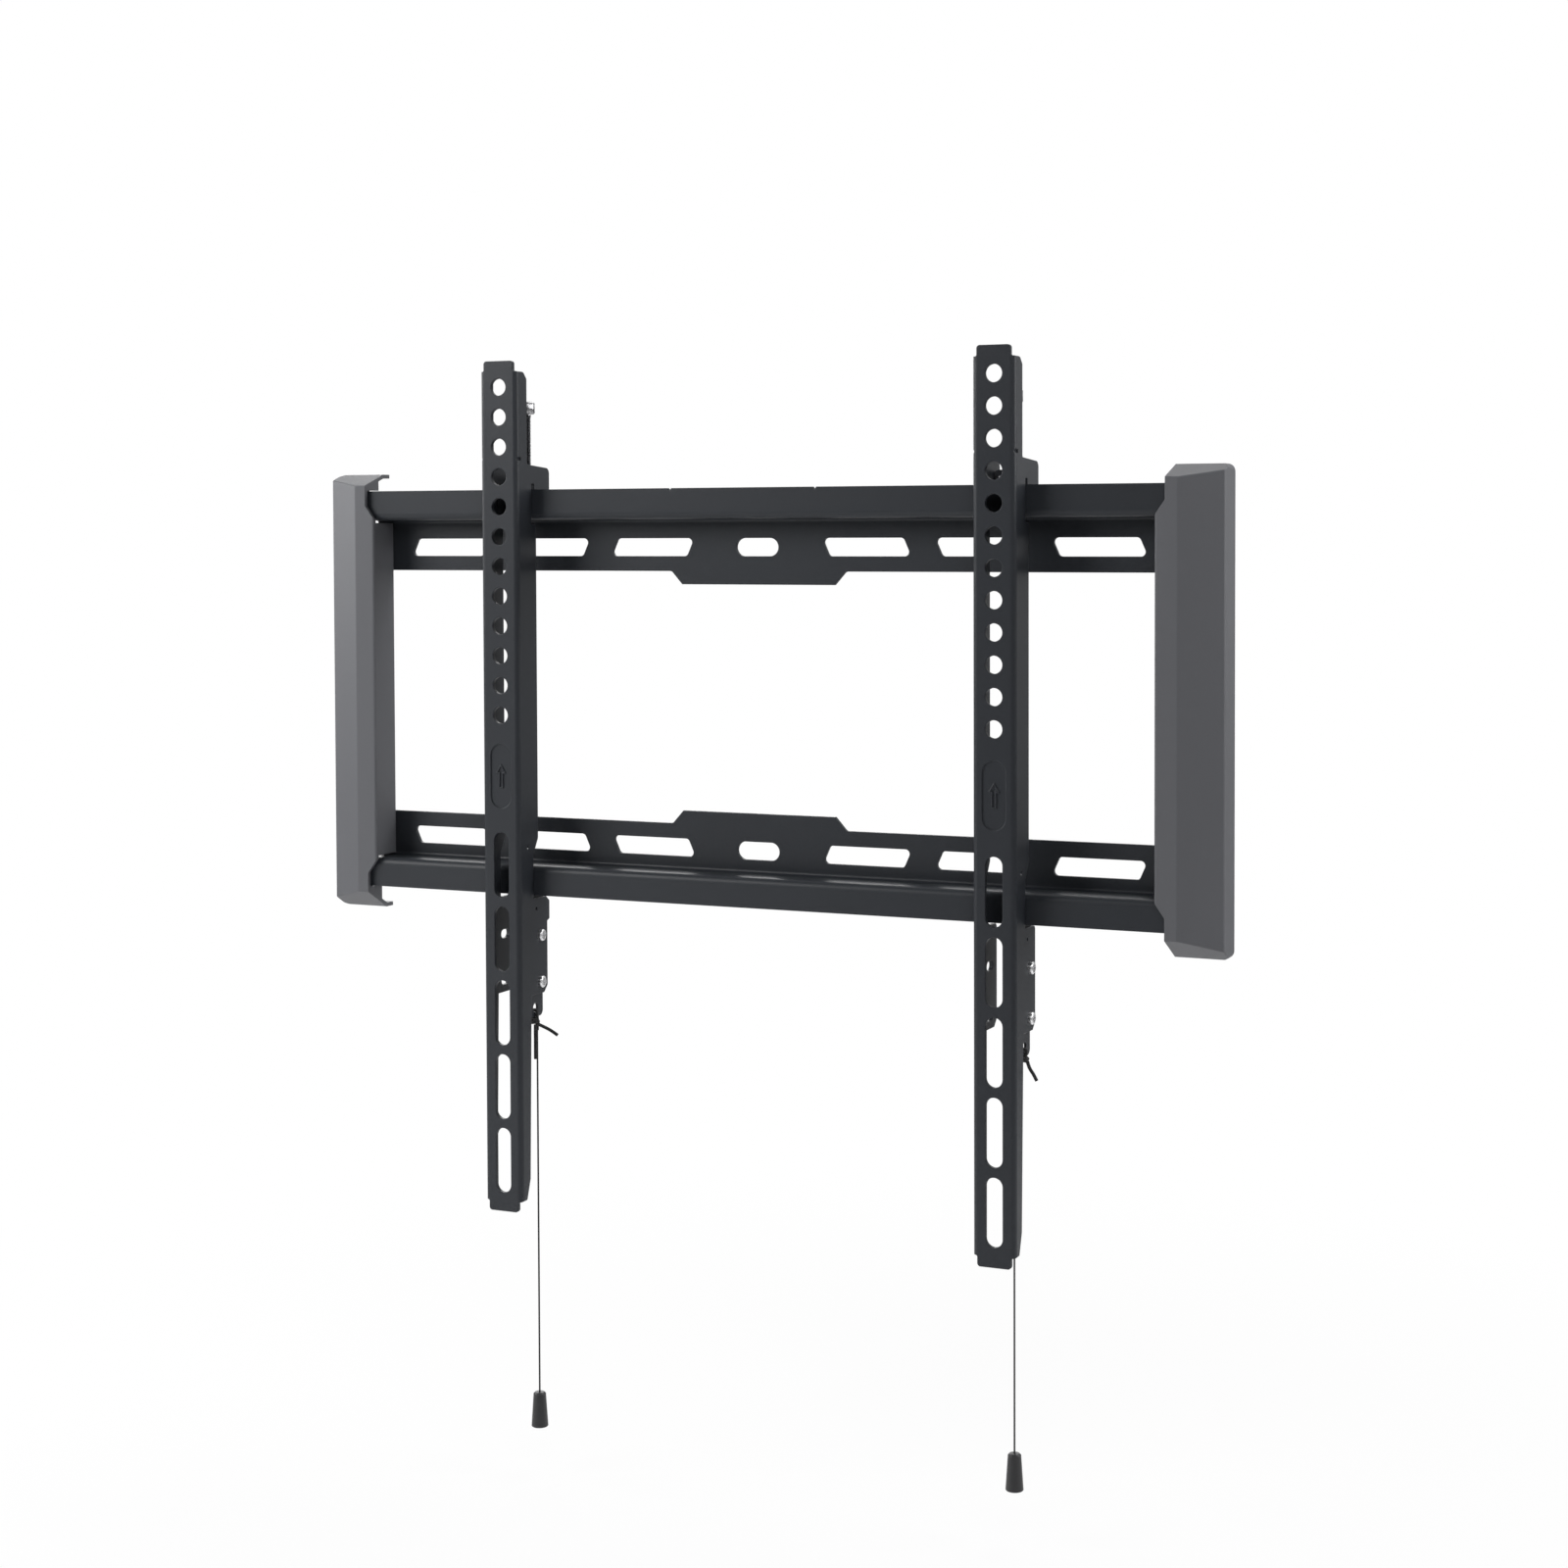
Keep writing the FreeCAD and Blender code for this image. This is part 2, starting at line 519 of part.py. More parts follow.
def make_arm(centre):
    """Folded channel with a hook for the upper lip, screw holes and slots, and a plate for the latch."""
    half = ARM_WIDTH / 2
    outer_bend = ARM_BEND + SHEET
    left, right = centre - half, centre + half
    skin = ARM_FRONT - SHEET
    channel = [
        (left, 0, 0), (left, ARM_FRONT, outer_bend), (right, ARM_FRONT, outer_bend), (right, 0, 0),
        (right - SHEET, 0, 0), (right - SHEET, skin, ARM_BEND), (left + SHEET, skin, ARM_BEND),
        (left + SHEET, 0, 0)]
    low = -(ARM_BOTTOM + TAB_LENGTH)
    arm = slab(channel, floor_plane(low), vector(0, 0, ARM_TOP + TAB_LENGTH - low))
    arm = arm.common(slab(arm_side(), side_plane(centre - ARM_WIDTH), vector(2 * ARM_WIDTH, 0, 0)))
    arm = arm.common(slab(arm_front(centre), wall_plane(2 * ARM_FRONT), vector(0, 2 * ARM_FRONT, 0)))
    front, behind = ARM_FRONT + SHEET, ARM_FRONT - 2 * SHEET
    cutters = [arm_emboss(centre)]
    for i in range(HOLE_COUNT):
        level = HOLE_FIRST - i * HOLE_PITCH
        cutters.append(rod(HOLE_RADIUS, vector(centre, -front, level), vector(centre, -behind, level)))
    for i in range(ARM_SLOT_COUNT):
        level = ARM_SLOT_FIRST - i * ARM_SLOT_PITCH
        reach = ARM_SLOT_LENGTH / 2
        wide = HOLE_RADIUS
        outline = rectangle(centre - wide, centre + wide, level - reach, level + reach, wide)
        cutters.append(slab(outline, wall_plane(front), vector(0, front - behind, 0)))
    for edge in (left, right):
        start = vector(edge, -front, RELIEF_LEVEL)
        cutters.append(rod(RELIEF_RADIUS, start, start + vector(0, front - behind, 0)))
    for radius, depth, level in side_holes():
        start = vector(centre - ARM_WIDTH, -depth, level)
        cutters.append(rod(radius, start, start + vector(2 * ARM_WIDTH, 0, 0)))
    for level in SCREW_LEVELS:
        reach, tall = ACCESS_LENGTH / 2, ACCESS_HEIGHT / 2
        outline = rectangle(ACCESS_PLACE - reach, ACCESS_PLACE + reach, -level - tall, -level + tall, tall)
        cutters.append(slab(outline, side_plane(left - SHEET), vector(3 * SHEET, 0, 0)))
    return arm.cut(Part.makeCompound(cutters))


def side_holes():
    """Holes across both flanges for the screws, the pin and the spring, as (radius, depth, height)."""
    holes = [(SCREW_RADIUS + PIN_GAP, SCREW_PLACE, -level) for level in SCREW_LEVELS]
    holes.append((PIN_HOLE_RADIUS, PIN_HOLE_PLACE, -PIN_HOLE_LEVEL))
    holes.append((SPRING_HOLE_RADIUS, SPRING_PLACE, -SPRING_TOP))
    return holes


def make_level_screw(centre):
    """Screw with a knurled head that stands on the upper rail's step and holds the arm level."""
    tip = UPPER_STEP + SHEET + TIP_GAP
    high = LEVEL_HEAD_LOW + LEVEL_HEAD_HEIGHT
    chamfer = LEVEL_RADIUS / 3
    low, wide = LEVEL_HEAD_LOW, LEVEL_HEAD_RADIUS
    screw = turned([
        (0, tip), (LEVEL_RADIUS - chamfer, tip), (LEVEL_RADIUS, tip + chamfer), (LEVEL_RADIUS, low),
        (wide - chamfer, low), (wide, low + chamfer), (wide, high - chamfer), (wide - chamfer, high),
        (0, high)], centre, LEVEL_PLACE)
    cutters = []
    for i in range(LEVEL_KNURLS):
        angle = 2 * math.pi * i / LEVEL_KNURLS
        outward = vector(math.cos(angle), -math.sin(angle), 0)
        aside = vector(outward.y, -outward.x, 0) * LEVEL_KNURL_RADIUS
        rim = vector(centre, -LEVEL_PLACE, low) + outward * wide
        inmost = rim - outward * LEVEL_KNURL_RADIUS
        outline = Part.makePolygon([inmost, rim + aside, rim - aside, inmost])
        cutters.append(Part.Face(outline).extrude(vector(0, 0, LEVEL_HEAD_HEIGHT)))
    return screw.cut(Part.makeCompound(cutters))


def make_level_bridge(centre):
    """Folded bracket between the hook's two plates, threaded for the level screw."""
    half = ARM_WIDTH / 2 - SHEET
    near = LEVEL_PLACE - BRIDGE_DEPTH / 2
    top = BRIDGE_LEVEL + BRIDGE_THICK
    foot = BRIDGE_LEVEL - BRIDGE_EAR
    left, right = centre - half, centre + half
    outline = [
        (left, foot, 0), (left, top, SHEET), (right, top, SHEET), (right, foot, 0),
        (right - SHEET, foot, 0), (right - SHEET, BRIDGE_LEVEL, 0), (left + SHEET, BRIDGE_LEVEL, 0),
        (left + SHEET, foot, 0)]
    bridge = slab(outline, wall_plane(near), vector(0, -BRIDGE_DEPTH, 0))
    axis = vector(centre, -LEVEL_PLACE, 0)
    return bridge.cut(rod(LEVEL_RADIUS + PIN_GAP, axis, axis + vector(0, 0, BIG)))


def latch_face(centre):
    """Outer face of the latch plate, which slides along the inside of the arm's right flange."""
    return centre + ARM_WIDTH / 2 - SHEET - SLIDE_GAP


def make_latch(centre):
    """Sliding plate with a hook behind the lower lip, screw slots, a spring ear and a cord tongue."""
    hook_front = LIP_FRONT - SHEET - LATCH_LIP_GAP
    shoulder = LOWER_LIP + EXTENSION_TOP + SLIDE_GAP
    ear_front = SPRING_PLACE + EAR_HALF
    ear_top, ear_low = SPRING_LOW - EAR_HALF, SPRING_LOW + EAR_HALF
    small = LATCH_ROUND
    outline = [
        (hook_front, -(LOWER_LIP - LATCH_REACH), small),
        (LATCH_HOOK_BACK, -(LOWER_LIP + LATCH_CAM_DROP), small), (LATCH_HOOK_BACK, -LATCH_HOOK_LOW, small),
        (LATCH_BACK, -(LATCH_HOOK_LOW + LATCH_HOOK_FALL), small),
        (LATCH_BACK, -TONGUE_TOP + TONGUE_CORNER, small),
        (TONGUE_BACK, -TONGUE_TOP, small), (TONGUE_BACK, -TONGUE_BOTTOM, TONGUE_CORNER),
        (LATCH_FRONT, -TONGUE_BOTTOM, TONGUE_CORNER), (LATCH_FRONT, -ear_low, small),
        (ear_front, -ear_low, EAR_ROUND), (ear_front, -ear_top, EAR_ROUND), (LATCH_FRONT, -ear_top, small),
        (LATCH_FRONT, -shoulder, small), (hook_front, -shoulder, 0)]
    face = latch_face(centre)
    latch = slab(outline, side_plane(face), vector(-LATCH_SHEET, 0, 0))
    across = vector(-2 * LATCH_SHEET, 0, 0)
    cutters = []
    gap = SCREW_RADIUS + SCREW_SLOT_GAP
    for level in SCREW_LEVELS:
        near, far = SCREW_PLACE - gap, SCREW_PLACE + gap
        slot = rectangle(near, far, -level - gap, -level + LATCH_TRAVEL + gap, gap)
        cutters.append(slab(slot, side_plane(face + LATCH_SHEET / 2), across))
    for radius, depth, level in ((CORD_HOLE_RADIUS, CORD_HOLE_PLACE, CORD_HOLE_LEVEL),
                                 (SPRING_HOLE_RADIUS, SPRING_PLACE, SPRING_LOW),
                                 (PIN_HOLE_RADIUS, PIN_HOLE_PLACE, PIN_HOLE_LEVEL)):
        start = vector(face + LATCH_SHEET / 2, -depth, -level)
        cutters.append(rod(radius, start, start + across))
    return latch.cut(Part.makeCompound(cutters))


def make_latch_spring(centre):
    """Closely wound tension spring: ringed coils with a hooked wire at each end."""
    face = latch_face(centre)
    axis = face - LATCH_SHEET - SPRING_OFFSET - SPRING_RADIUS - SPRING_WIRE
    upper = -SPRING_TOP - SPRING_HOLE_RADIUS + SPRING_WIRE + PIN_GAP
    lower = -SPRING_LOW + SPRING_HOLE_RADIUS - SPRING_WIRE - PIN_GAP
    top, low = upper - SPRING_EYE, lower + SPRING_EYE
    pitch = (top - low) / SPRING_COILS
    points = [(0, top)]
    for i in range(SPRING_COILS):
        level = top - i * pitch
        points += [(SPRING_RADIUS - SPRING_WIRE, level), (SPRING_RADIUS + SPRING_WIRE, level - pitch / 3),
                   (SPRING_RADIUS + SPRING_WIRE, level - 2 * pitch / 3)]
    points += [(SPRING_RADIUS - SPRING_WIRE, low), (0, low)]
    pieces = [turned(points, axis, SPRING_PLACE)]
    for end, root, reach in ((upper, top, centre + ARM_WIDTH / 2), (lower, low, face)):
        corner = vector(axis, -SPRING_PLACE, end)
        inward = (root - end) / abs(root - end)
        pieces.append(rod(SPRING_WIRE, corner, vector(axis, -SPRING_PLACE, root + inward * SPRING_WIRE)))
        pieces.append(rod(SPRING_WIRE, corner, vector(reach, -SPRING_PLACE, end)))
        pieces.append(Part.makeSphere(SPRING_WIRE, corner))
    return fused(pieces)


def make_latch_screws(centre):
    """Pan-head screws through the arm's plate and the latch's slots."""
    flange = centre + ARM_WIDTH / 2
    inner = latch_face(centre) - LATCH_SHEET - SLIDE_GAP - NUT_HEIGHT
    screws = []
    for level in SCREW_LEVELS:
        middle = vector(flange, -SCREW_PLACE, -level)
        head = Part.makeCylinder(SCREW_HEAD_RADIUS, SCREW_HEAD_HEIGHT, middle, vector(1, 0, 0))
        rim = [edge for edge in head.Edges if edge.BoundBox.XMin > flange + SCREW_HEAD_HEIGHT / 2]
        head = head.makeFillet(SCREW_HEAD_HEIGHT / 2, rim[:1])
        cutters = []
        top = flange + SCREW_HEAD_HEIGHT
        for wide, tall in ((SCREW_CROSS_REACH, SCREW_CROSS / 2), (SCREW_CROSS / 2, SCREW_CROSS_REACH)):
            cutters.append(box(top - SCREW_CROSS_DEPTH, top + 1, SCREW_PLACE - wide, SCREW_PLACE + wide,
                               -level - tall, -level + tall))
        shank = rod(SCREW_RADIUS, vector(inner, -SCREW_PLACE, -level), middle)
        screws.append(head.cut(cutters[0]).cut(cutters[1]).fuse(shank).removeSplitter())
    return Part.makeCompound(screws)


def make_latch_nuts(centre):
    """Hexagon nuts that keep the latch against the arm's plate."""
    inner = latch_face(centre) - LATCH_SHEET - SLIDE_GAP
    nuts = []
    for level in SCREW_LEVELS:
        turns = [math.pi * i / 3 for i in range(6)]
        corners = [(SCREW_PLACE + NUT_RADIUS * math.cos(turn), -level + NUT_RADIUS * math.sin(turn))
                   for turn in turns]
        nut = slab(plain(corners), side_plane(inner), vector(-NUT_HEIGHT, 0, 0))
        axis = vector(inner - 2 * NUT_HEIGHT, -SCREW_PLACE, -level)
        nuts.append(nut.cut(rod(SCREW_RADIUS, axis, axis + vector(3 * NUT_HEIGHT, 0, 0))))
    return Part.makeCompound(nuts)


def cord_strands(centre):
    """X of the cord's loop beside the tongue: its outer and its inner strand."""
    face = latch_face(centre)
    beside = CORD_SIDE_GAP + LOOP_RADIUS
    return face + beside, face - LATCH_SHEET - beside


def make_cord_knot(centre, tails):
    """Loop of cord through the tongue's hole, its knot and the knot's cut tails."""
    outer, inner = cord_strands(centre)
    middle, radius = (outer + inner) / 2, (outer - inner) / 2
    bend = -CORD_HOLE_LEVEL - CORD_HOLE_RADIUS - CORD_LOOP_DROP
    depth = -CORD_HOLE_PLACE
    knot = vector(middle, depth, -KNOT_LEVEL)
    feet = [vector(x, depth, -KNOT_LEVEL) for x in (outer, inner)]
    tops = [vector(x, depth, bend) for x in (outer, inner)]
    arc = Part.Arc(tops[0], vector(middle, depth, bend + radius), tops[1]).toShape()
    path = Part.Wire([Part.LineSegment(feet[0], tops[0]).toShape(), arc,
                      Part.LineSegment(tops[1], feet[1]).toShape()])
    section = Part.Wire(Part.makeCircle(LOOP_RADIUS, feet[0], vector(0, 0, 1)))
    loop = path.makePipeShell([section], True, True)
    half = radius + LOOP_RADIUS + KNOT_CHEEK
    barrel = rod(KNOT_RADIUS, knot - vector(half, 0, 0), knot + vector(half, 0, 0))
    rims = [edge for edge in barrel.Edges if edge.BoundBox.XLength < half]
    barrel = barrel.makeFillet(KNOT_ROUND, rims)
    ends = [rod(LOOP_RADIUS, knot, knot + vector(*way) * length) for way, length in tails]
    return fused([barrel, loop] + ends)


def make_pull_cord(x, shift, length):
    """Hanging cord from inside the knot to the inside of the bell's roof, drawn aside by two gentle arcs."""
    depth = -CORD_HOLE_PLACE
    top, low = -KNOT_LEVEL, -KNOT_LEVEL - length - BELL_ROOF
    if not shift:
        return rod(CORD_RADIUS, vector(x, depth, top), vector(x, depth, low))
    turn = 2 * math.atan(abs(shift) / SHIFT_HEIGHT)
    radius = SHIFT_HEIGHT / (2 * math.sin(turn))
    aside = math.copysign(radius * (1 - math.cos(turn / 2)), shift)
    fall = radius * math.sin(turn / 2)
    start = top - SHIFT_DROP
    stop = start - SHIFT_HEIGHT
    points = [vector(x, depth, top), vector(x, depth, start), vector(x + aside, depth, start - fall),
              vector(x + shift / 2, depth, (start + stop) / 2), vector(x + shift - aside, depth, stop + fall),
              vector(x + shift, depth, stop), vector(x + shift, depth, low)]
    lines = [Part.LineSegment(*points[:2]), Part.Arc(*points[1:4]), Part.Arc(*points[3:6]),
             Part.LineSegment(*points[5:])]
    section = Part.Wire(Part.makeCircle(CORD_RADIUS, points[0], vector(0, 0, 1)))
    return Part.Wire([line.toShape() for line in lines]).makePipeShell([section], True, True)


def make_pull_bell(x, length):
    """Tapered pull, open underneath, with a hole in its roof for the cord."""
    top = -KNOT_LEVEL - length
    low = top - BELL_LENGTH
    roof = top - BELL_ROOF
    hole = CORD_RADIUS + PIN_GAP
    return turned([
        (hole, top), (BELL_TOP_RADIUS - BELL_ROUND, top), (BELL_TOP_RADIUS, top - BELL_ROUND),
        (BELL_LOW_RADIUS, low + BELL_ROUND / 2), (BELL_LOW_RADIUS - BELL_ROUND / 2, low), (BELL_BORE, low),
        (BELL_BORE, roof), (hole, roof)], x, CORD_HOLE_PLACE)


def make_stop_knot(x, length):
    """Knot at the cord's end that carries the bell."""
    centre = -KNOT_LEVEL - length - BELL_ROOF - STOP_KNOT_RADIUS
    return Part.makeSphere(STOP_KNOT_RADIUS, vector(x, -CORD_HOLE_PLACE, centre))


def make_arm_set(name, centre, strand, tails, shift, length):
    """All pieces of one arm, by node name. Strand says which of the loop's two sides the cord hangs on."""
    cord = cord_strands(centre)[strand]
    return {
        f"{name}_arm": make_arm(centre),
        f"{name}_level_screw": make_level_screw(centre),
        f"{name}_level_bridge": make_level_bridge(centre),
        f"{name}_latch": make_latch(centre),
        f"{name}_latch_spring": make_latch_spring(centre),
        f"{name}_latch_screws": make_latch_screws(centre),
        f"{name}_latch_nuts": make_latch_nuts(centre),
        f"{name}_cord_knot": make_cord_knot(centre, tails),
        f"{name}_pull_cord": make_pull_cord(cord, shift, length),
        f"{name}_pull_bell": make_pull_bell(cord + shift, length),
        f"{name}_stop_knot": make_stop_knot(cord + shift, length),
    }


def main():
    """Builds every node and writes it to its own file."""
    cover = make_cover()
    nodes = {
        "upper_rail": add_marks(make_rail(1, UPPER_STEP, UPPER_LIP)),
        "lower_rail": make_rail(-1, LOWER_STEP, LOWER_LIP),
        "right_cover": cover,
        "left_cover": cover.mirror(vector(0, 0, 0), vector(1, 0, 0)),
    }
    nodes.update(make_arm_set("left", LEFT_ARM, 0, LEFT_TAILS, LEFT_SHIFT, LEFT_CORD))
    nodes.update(make_arm_set("right", RIGHT_ARM, 1, RIGHT_TAILS, RIGHT_SHIFT, RIGHT_CORD))
    os.makedirs("parts", exist_ok=True)
    for name, shape in nodes.items():
        shape.exportStep(f"parts/{name}.step")
        print(name, len(shape.Solids), shape.isValid(), round(shape.Volume))


main()
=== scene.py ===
import logging
import math
from dataclasses import dataclass
from enum import Enum
from typing import Any, ClassVar, Iterable, Optional, Sequence, Union

import bpy
import numpy as np
from mathutils import Matrix, Vector


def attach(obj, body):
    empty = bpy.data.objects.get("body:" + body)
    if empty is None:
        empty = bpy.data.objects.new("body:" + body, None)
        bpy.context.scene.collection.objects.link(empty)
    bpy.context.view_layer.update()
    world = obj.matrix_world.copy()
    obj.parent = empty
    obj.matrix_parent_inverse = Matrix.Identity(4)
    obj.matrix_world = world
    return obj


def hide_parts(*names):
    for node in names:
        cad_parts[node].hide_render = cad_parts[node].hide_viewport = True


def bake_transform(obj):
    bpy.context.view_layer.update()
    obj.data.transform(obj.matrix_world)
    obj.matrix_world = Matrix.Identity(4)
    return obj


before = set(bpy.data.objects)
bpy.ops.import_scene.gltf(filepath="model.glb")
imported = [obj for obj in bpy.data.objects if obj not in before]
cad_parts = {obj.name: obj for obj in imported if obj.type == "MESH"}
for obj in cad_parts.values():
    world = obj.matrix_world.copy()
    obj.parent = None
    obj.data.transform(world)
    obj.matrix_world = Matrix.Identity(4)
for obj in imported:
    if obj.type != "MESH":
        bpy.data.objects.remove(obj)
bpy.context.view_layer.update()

LOG = logging.getLogger("wall_mount")
MM = 0.001
TURN = 2 * math.pi
WHITE = (1.0, 1.0, 1.0, 1.0)
CLOUD_BAND = (0.3, 0.7)
Point = tuple[float, float, float]
Colour = tuple[float, float, float]
Pair = tuple[float, float]
Grid = tuple[np.ndarray, np.ndarray]


class Slot(Enum):
    """Material slots of the record."""

    ZINC = "zinc"
    CORD = "cord"


class Strand(Enum):
    """Side of the tongue on which a pull cord hangs, as a sign along X."""

    OUTER = 1
    INNER = -1

    @property
    def turns(self) -> float:
        """Turns of the knot's wraps that end on this side."""
        return 2.0 if self is Strand.OUTER else 1.5


class Socket:
    """One output in a shader tree, with arithmetic that adds Math nodes."""

    def __init__(self, tree: "ShaderTree", link: Optional[bpy.types.NodeSocket]) -> None:
        """Keeps the tree and the output."""
        self.tree = tree
        self.link = link

    def other(self, output: str) -> "Socket":
        """Another output of the same node."""
        return Socket(self.tree, self.link.node.outputs[output])

    def swing(self, width: float) -> "Socket":
        """A noise from 0 to 1 as a value about 0, of this width."""
        return (self - 0.5) * width

    def _math(self, operation: str, first: "Value", second: "Value") -> "Socket":
        """Adds one Math node.

        Args:
            operation: The node's operation.
            first: First value.
            second: Second value.

        Returns:
            The node's result.
        """
        return self.tree.node("ShaderNodeMath", {"operation": operation}, {0: first, 1: second})

    def __add__(self, other: "Value") -> "Socket":
        """Sum."""
        return self._math("ADD", self, other)

    __radd__ = __add__

    def __sub__(self, other: "Value") -> "Socket":
        """Difference."""
        return self._math("SUBTRACT", self, other)

    def __rsub__(self, other: "Value") -> "Socket":
        """Difference, from the other side."""
        return self._math("SUBTRACT", other, self)

    def __mul__(self, other: "Value") -> "Socket":
        """Product."""
        return self._math("MULTIPLY", self, other)

    __rmul__ = __mul__


Value = Union[float, Socket]


class ShaderTree:
    """A node tree that is written as expressions."""

    def __init__(self, tree: bpy.types.NodeTree) -> None:
        """Starts with an empty tree."""
        self.tree = tree
        tree.nodes.clear()

    def node(self, kind: str, settings: dict[str, Any], values: dict[Union[str, int], Any],
             output: Union[str, int] = 0) -> Socket:
        """Adds any node.

        Args:
            kind: The node's type name.
            settings: Properties, such as a Math node's operation, that are set first.
            values: Values or links of the input sockets, by name or number.
            output: Output that is returned, by name or number.

        Returns:
            The chosen output, or an empty one where the node has none.
        """
        made = self.tree.nodes.new(kind)
        for name, setting in settings.items():
            setattr(made, name, setting)
        for name, value in values.items():
            if isinstance(value, Socket):
                self.tree.links.new(value.link, made.inputs[name])
            else:
                made.inputs[name].default_value = value
        return Socket(self, made.outputs[output] if len(made.outputs) else None)

    def coordinates(self, output: str = "Object") -> Socket:
        """The surface's own coordinates."""
        return self.node("ShaderNodeTexCoord", {}, {}, output)

    def stretched(self, source: Socket, scale: Point) -> Socket:
        """Coordinates with a stretch along each axis."""
        return self.node("ShaderNodeMapping", {}, {"Vector": source, "Scale": scale})

    def noise(self, source: Socket, scale: float, detail: float = 2.0, rough: float = 0.5) -> Socket:
        """Soft noise from 0 to 1.

        Args:
            source: Coordinates.
            scale: Features in one metre.
            detail: Octaves.
            rough: Share of the finer octaves.

        Returns:
            The noise's value.
        """
        return self.node("ShaderNodeTexNoise", {}, {"Vector": source, "Scale": scale, "Detail": detail,
                                                    "Roughness": rough})

    def ramp(self, value: Socket, low: float, high: float, first: float = 0.0, last: float = 1.0) -> Socket:
        """Value mapped smoothly from one range to another and held at the ends.

        Args:
            value: Value to map.
            low: Start of its range.
            high: End of its range.
            first: Result at the start.
            last: Result at the end.

        Returns:
            The mapped value.
        """
        return self.node("ShaderNodeMapRange", {"interpolation_type": "SMOOTHSTEP"},
                         {0: value, 1: low, 2: high, 3: first, 4: last})

    def mix(self, factor: Value, first: Any, second: Any) -> Socket:
        """Colour between two colours.

        Args:
            factor: Share of the second colour.
            first: Colour or link at 0.
            second: Colour or link at 1.

        Returns:
            The mixed colour.
        """
        return self.node("ShaderNodeMix", {"data_type": "RGBA"}, {0: factor, 6: first, 7: second}, 2)

    def clouded(self, cloud: Socket, colour: Colour, tint: float, share: float) -> Socket:
        """Colour that turns towards a darker or lighter tint of itself in clouds.

        Args:
            cloud: Noise of the clouds.
            colour: Colour between the clouds.
            tint: Multiple of the colour inside them.
            share: Most of the tint that shows.

        Returns:
            The clouded colour.
        """
        return self.mix(self.ramp(cloud, *CLOUD_BAND, 0.0, share), rgba(colour), rgba(colour, tint))

    def bump(self, height: Socket, depth: float, strength: float, normal: Optional[Socket] = None) -> Socket:
        """Normal from a height.

        Args:
            height: Height from 0 to 1.
            depth: Depth of the relief in metres.
            strength: Share of the relief that shows.
            normal: Normal to start from, where it isn't the surface's own.

        Returns:
            The normal.
        """
        values = {"Height": height, "Distance": depth, "Strength": strength}
        if normal is not None:
            values["Normal"] = normal
        return self.node("ShaderNodeBump", {}, values)

    def soft_edges(self, radius: float) -> Socket:
        """Normal that rounds the edges by a radius in metres."""
        return self.node("ShaderNodeBevel", {"samples": 6}, {"Radius": radius})

    def edge_share(self, rounded: Socket) -> Socket:
        """How far a rounded normal leaves the surface's own: one less their dot product, 0 on a flat.

        Args:
            rounded: Normal with rounded edges.

        Returns:
            The share.
        """
        own = self.node("ShaderNodeNewGeometry", {}, {}, "Normal")
        along = self.node("ShaderNodeVectorMath", {"operation": "DOT_PRODUCT"}, {0: rounded, 1: own}, "Value")
        return 1 - along

    def ray_kinds(self) -> tuple[Socket, Socket, Socket]:
        """Camera, glossy and transmission rays, each 1 or 0."""
        seen = self.node("ShaderNodeLightPath", {}, {}, "Is Camera Ray")
        return seen, seen.other("Is Glossy Ray"), seen.other("Is Transmission Ray")


def rgba(colour: Colour, tint: float = 1.0) -> tuple[float, float, float, float]:
    """A multiple of a colour, held at 1, with full opacity."""
    return (*(min(1.0, tint * part) for part in colour), 1.0)


def srgb(red: float, green: float, blue: float) -> Colour:
    """Linear colour of a display colour, by the standard display curve.

    Args:
        red: Red from 0 to 255.
        green: Green from 0 to 255.
        blue: Blue from 0 to 255.

    Returns:
        The colour as the shader needs it.
    """
    share = np.array([red, green, blue]) / 255
    linear = np.where(share <= 0.04045, share / 12.92, ((share + 0.055) / 1.055) ** 2.4)
    return tuple(float(v) for v in linear)


@dataclass(frozen=True)
class Finish:
    """A surface finish that makes its own material.

    In every finish, a pattern's scale is its features in one metre, radii and reliefs are in metres, and a
    dulling is the width by which a noise changes the roughness.
    """

    name: str

    def build(self, tree: ShaderTree) -> dict[str, Any]:
        """Values of the surface shader's sockets, by name."""
        raise NotImplementedError

    def material(self) -> bpy.types.Material:
        """The finish as a material, made once.

        Returns:
            The material.
        """
        known = bpy.data.materials.get(self.name)
        if known is not None:
            return known
        made = bpy.data.materials.new(self.name)
        made.use_nodes = True
        tree = ShaderTree(made.node_tree)
        shader = tree.node("ShaderNodeBsdfPrincipled", {}, self.build(tree))
        tree.node("ShaderNodeOutputMaterial", {}, {"Surface": shader})
        return made

    def dress(self, piece: bpy.types.Object) -> None:
        """Gives a piece this finish in its only material slot.

        Args:
            piece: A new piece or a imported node.
        """
        piece.data.materials.clear()
        piece.data.materials.append(self.material())


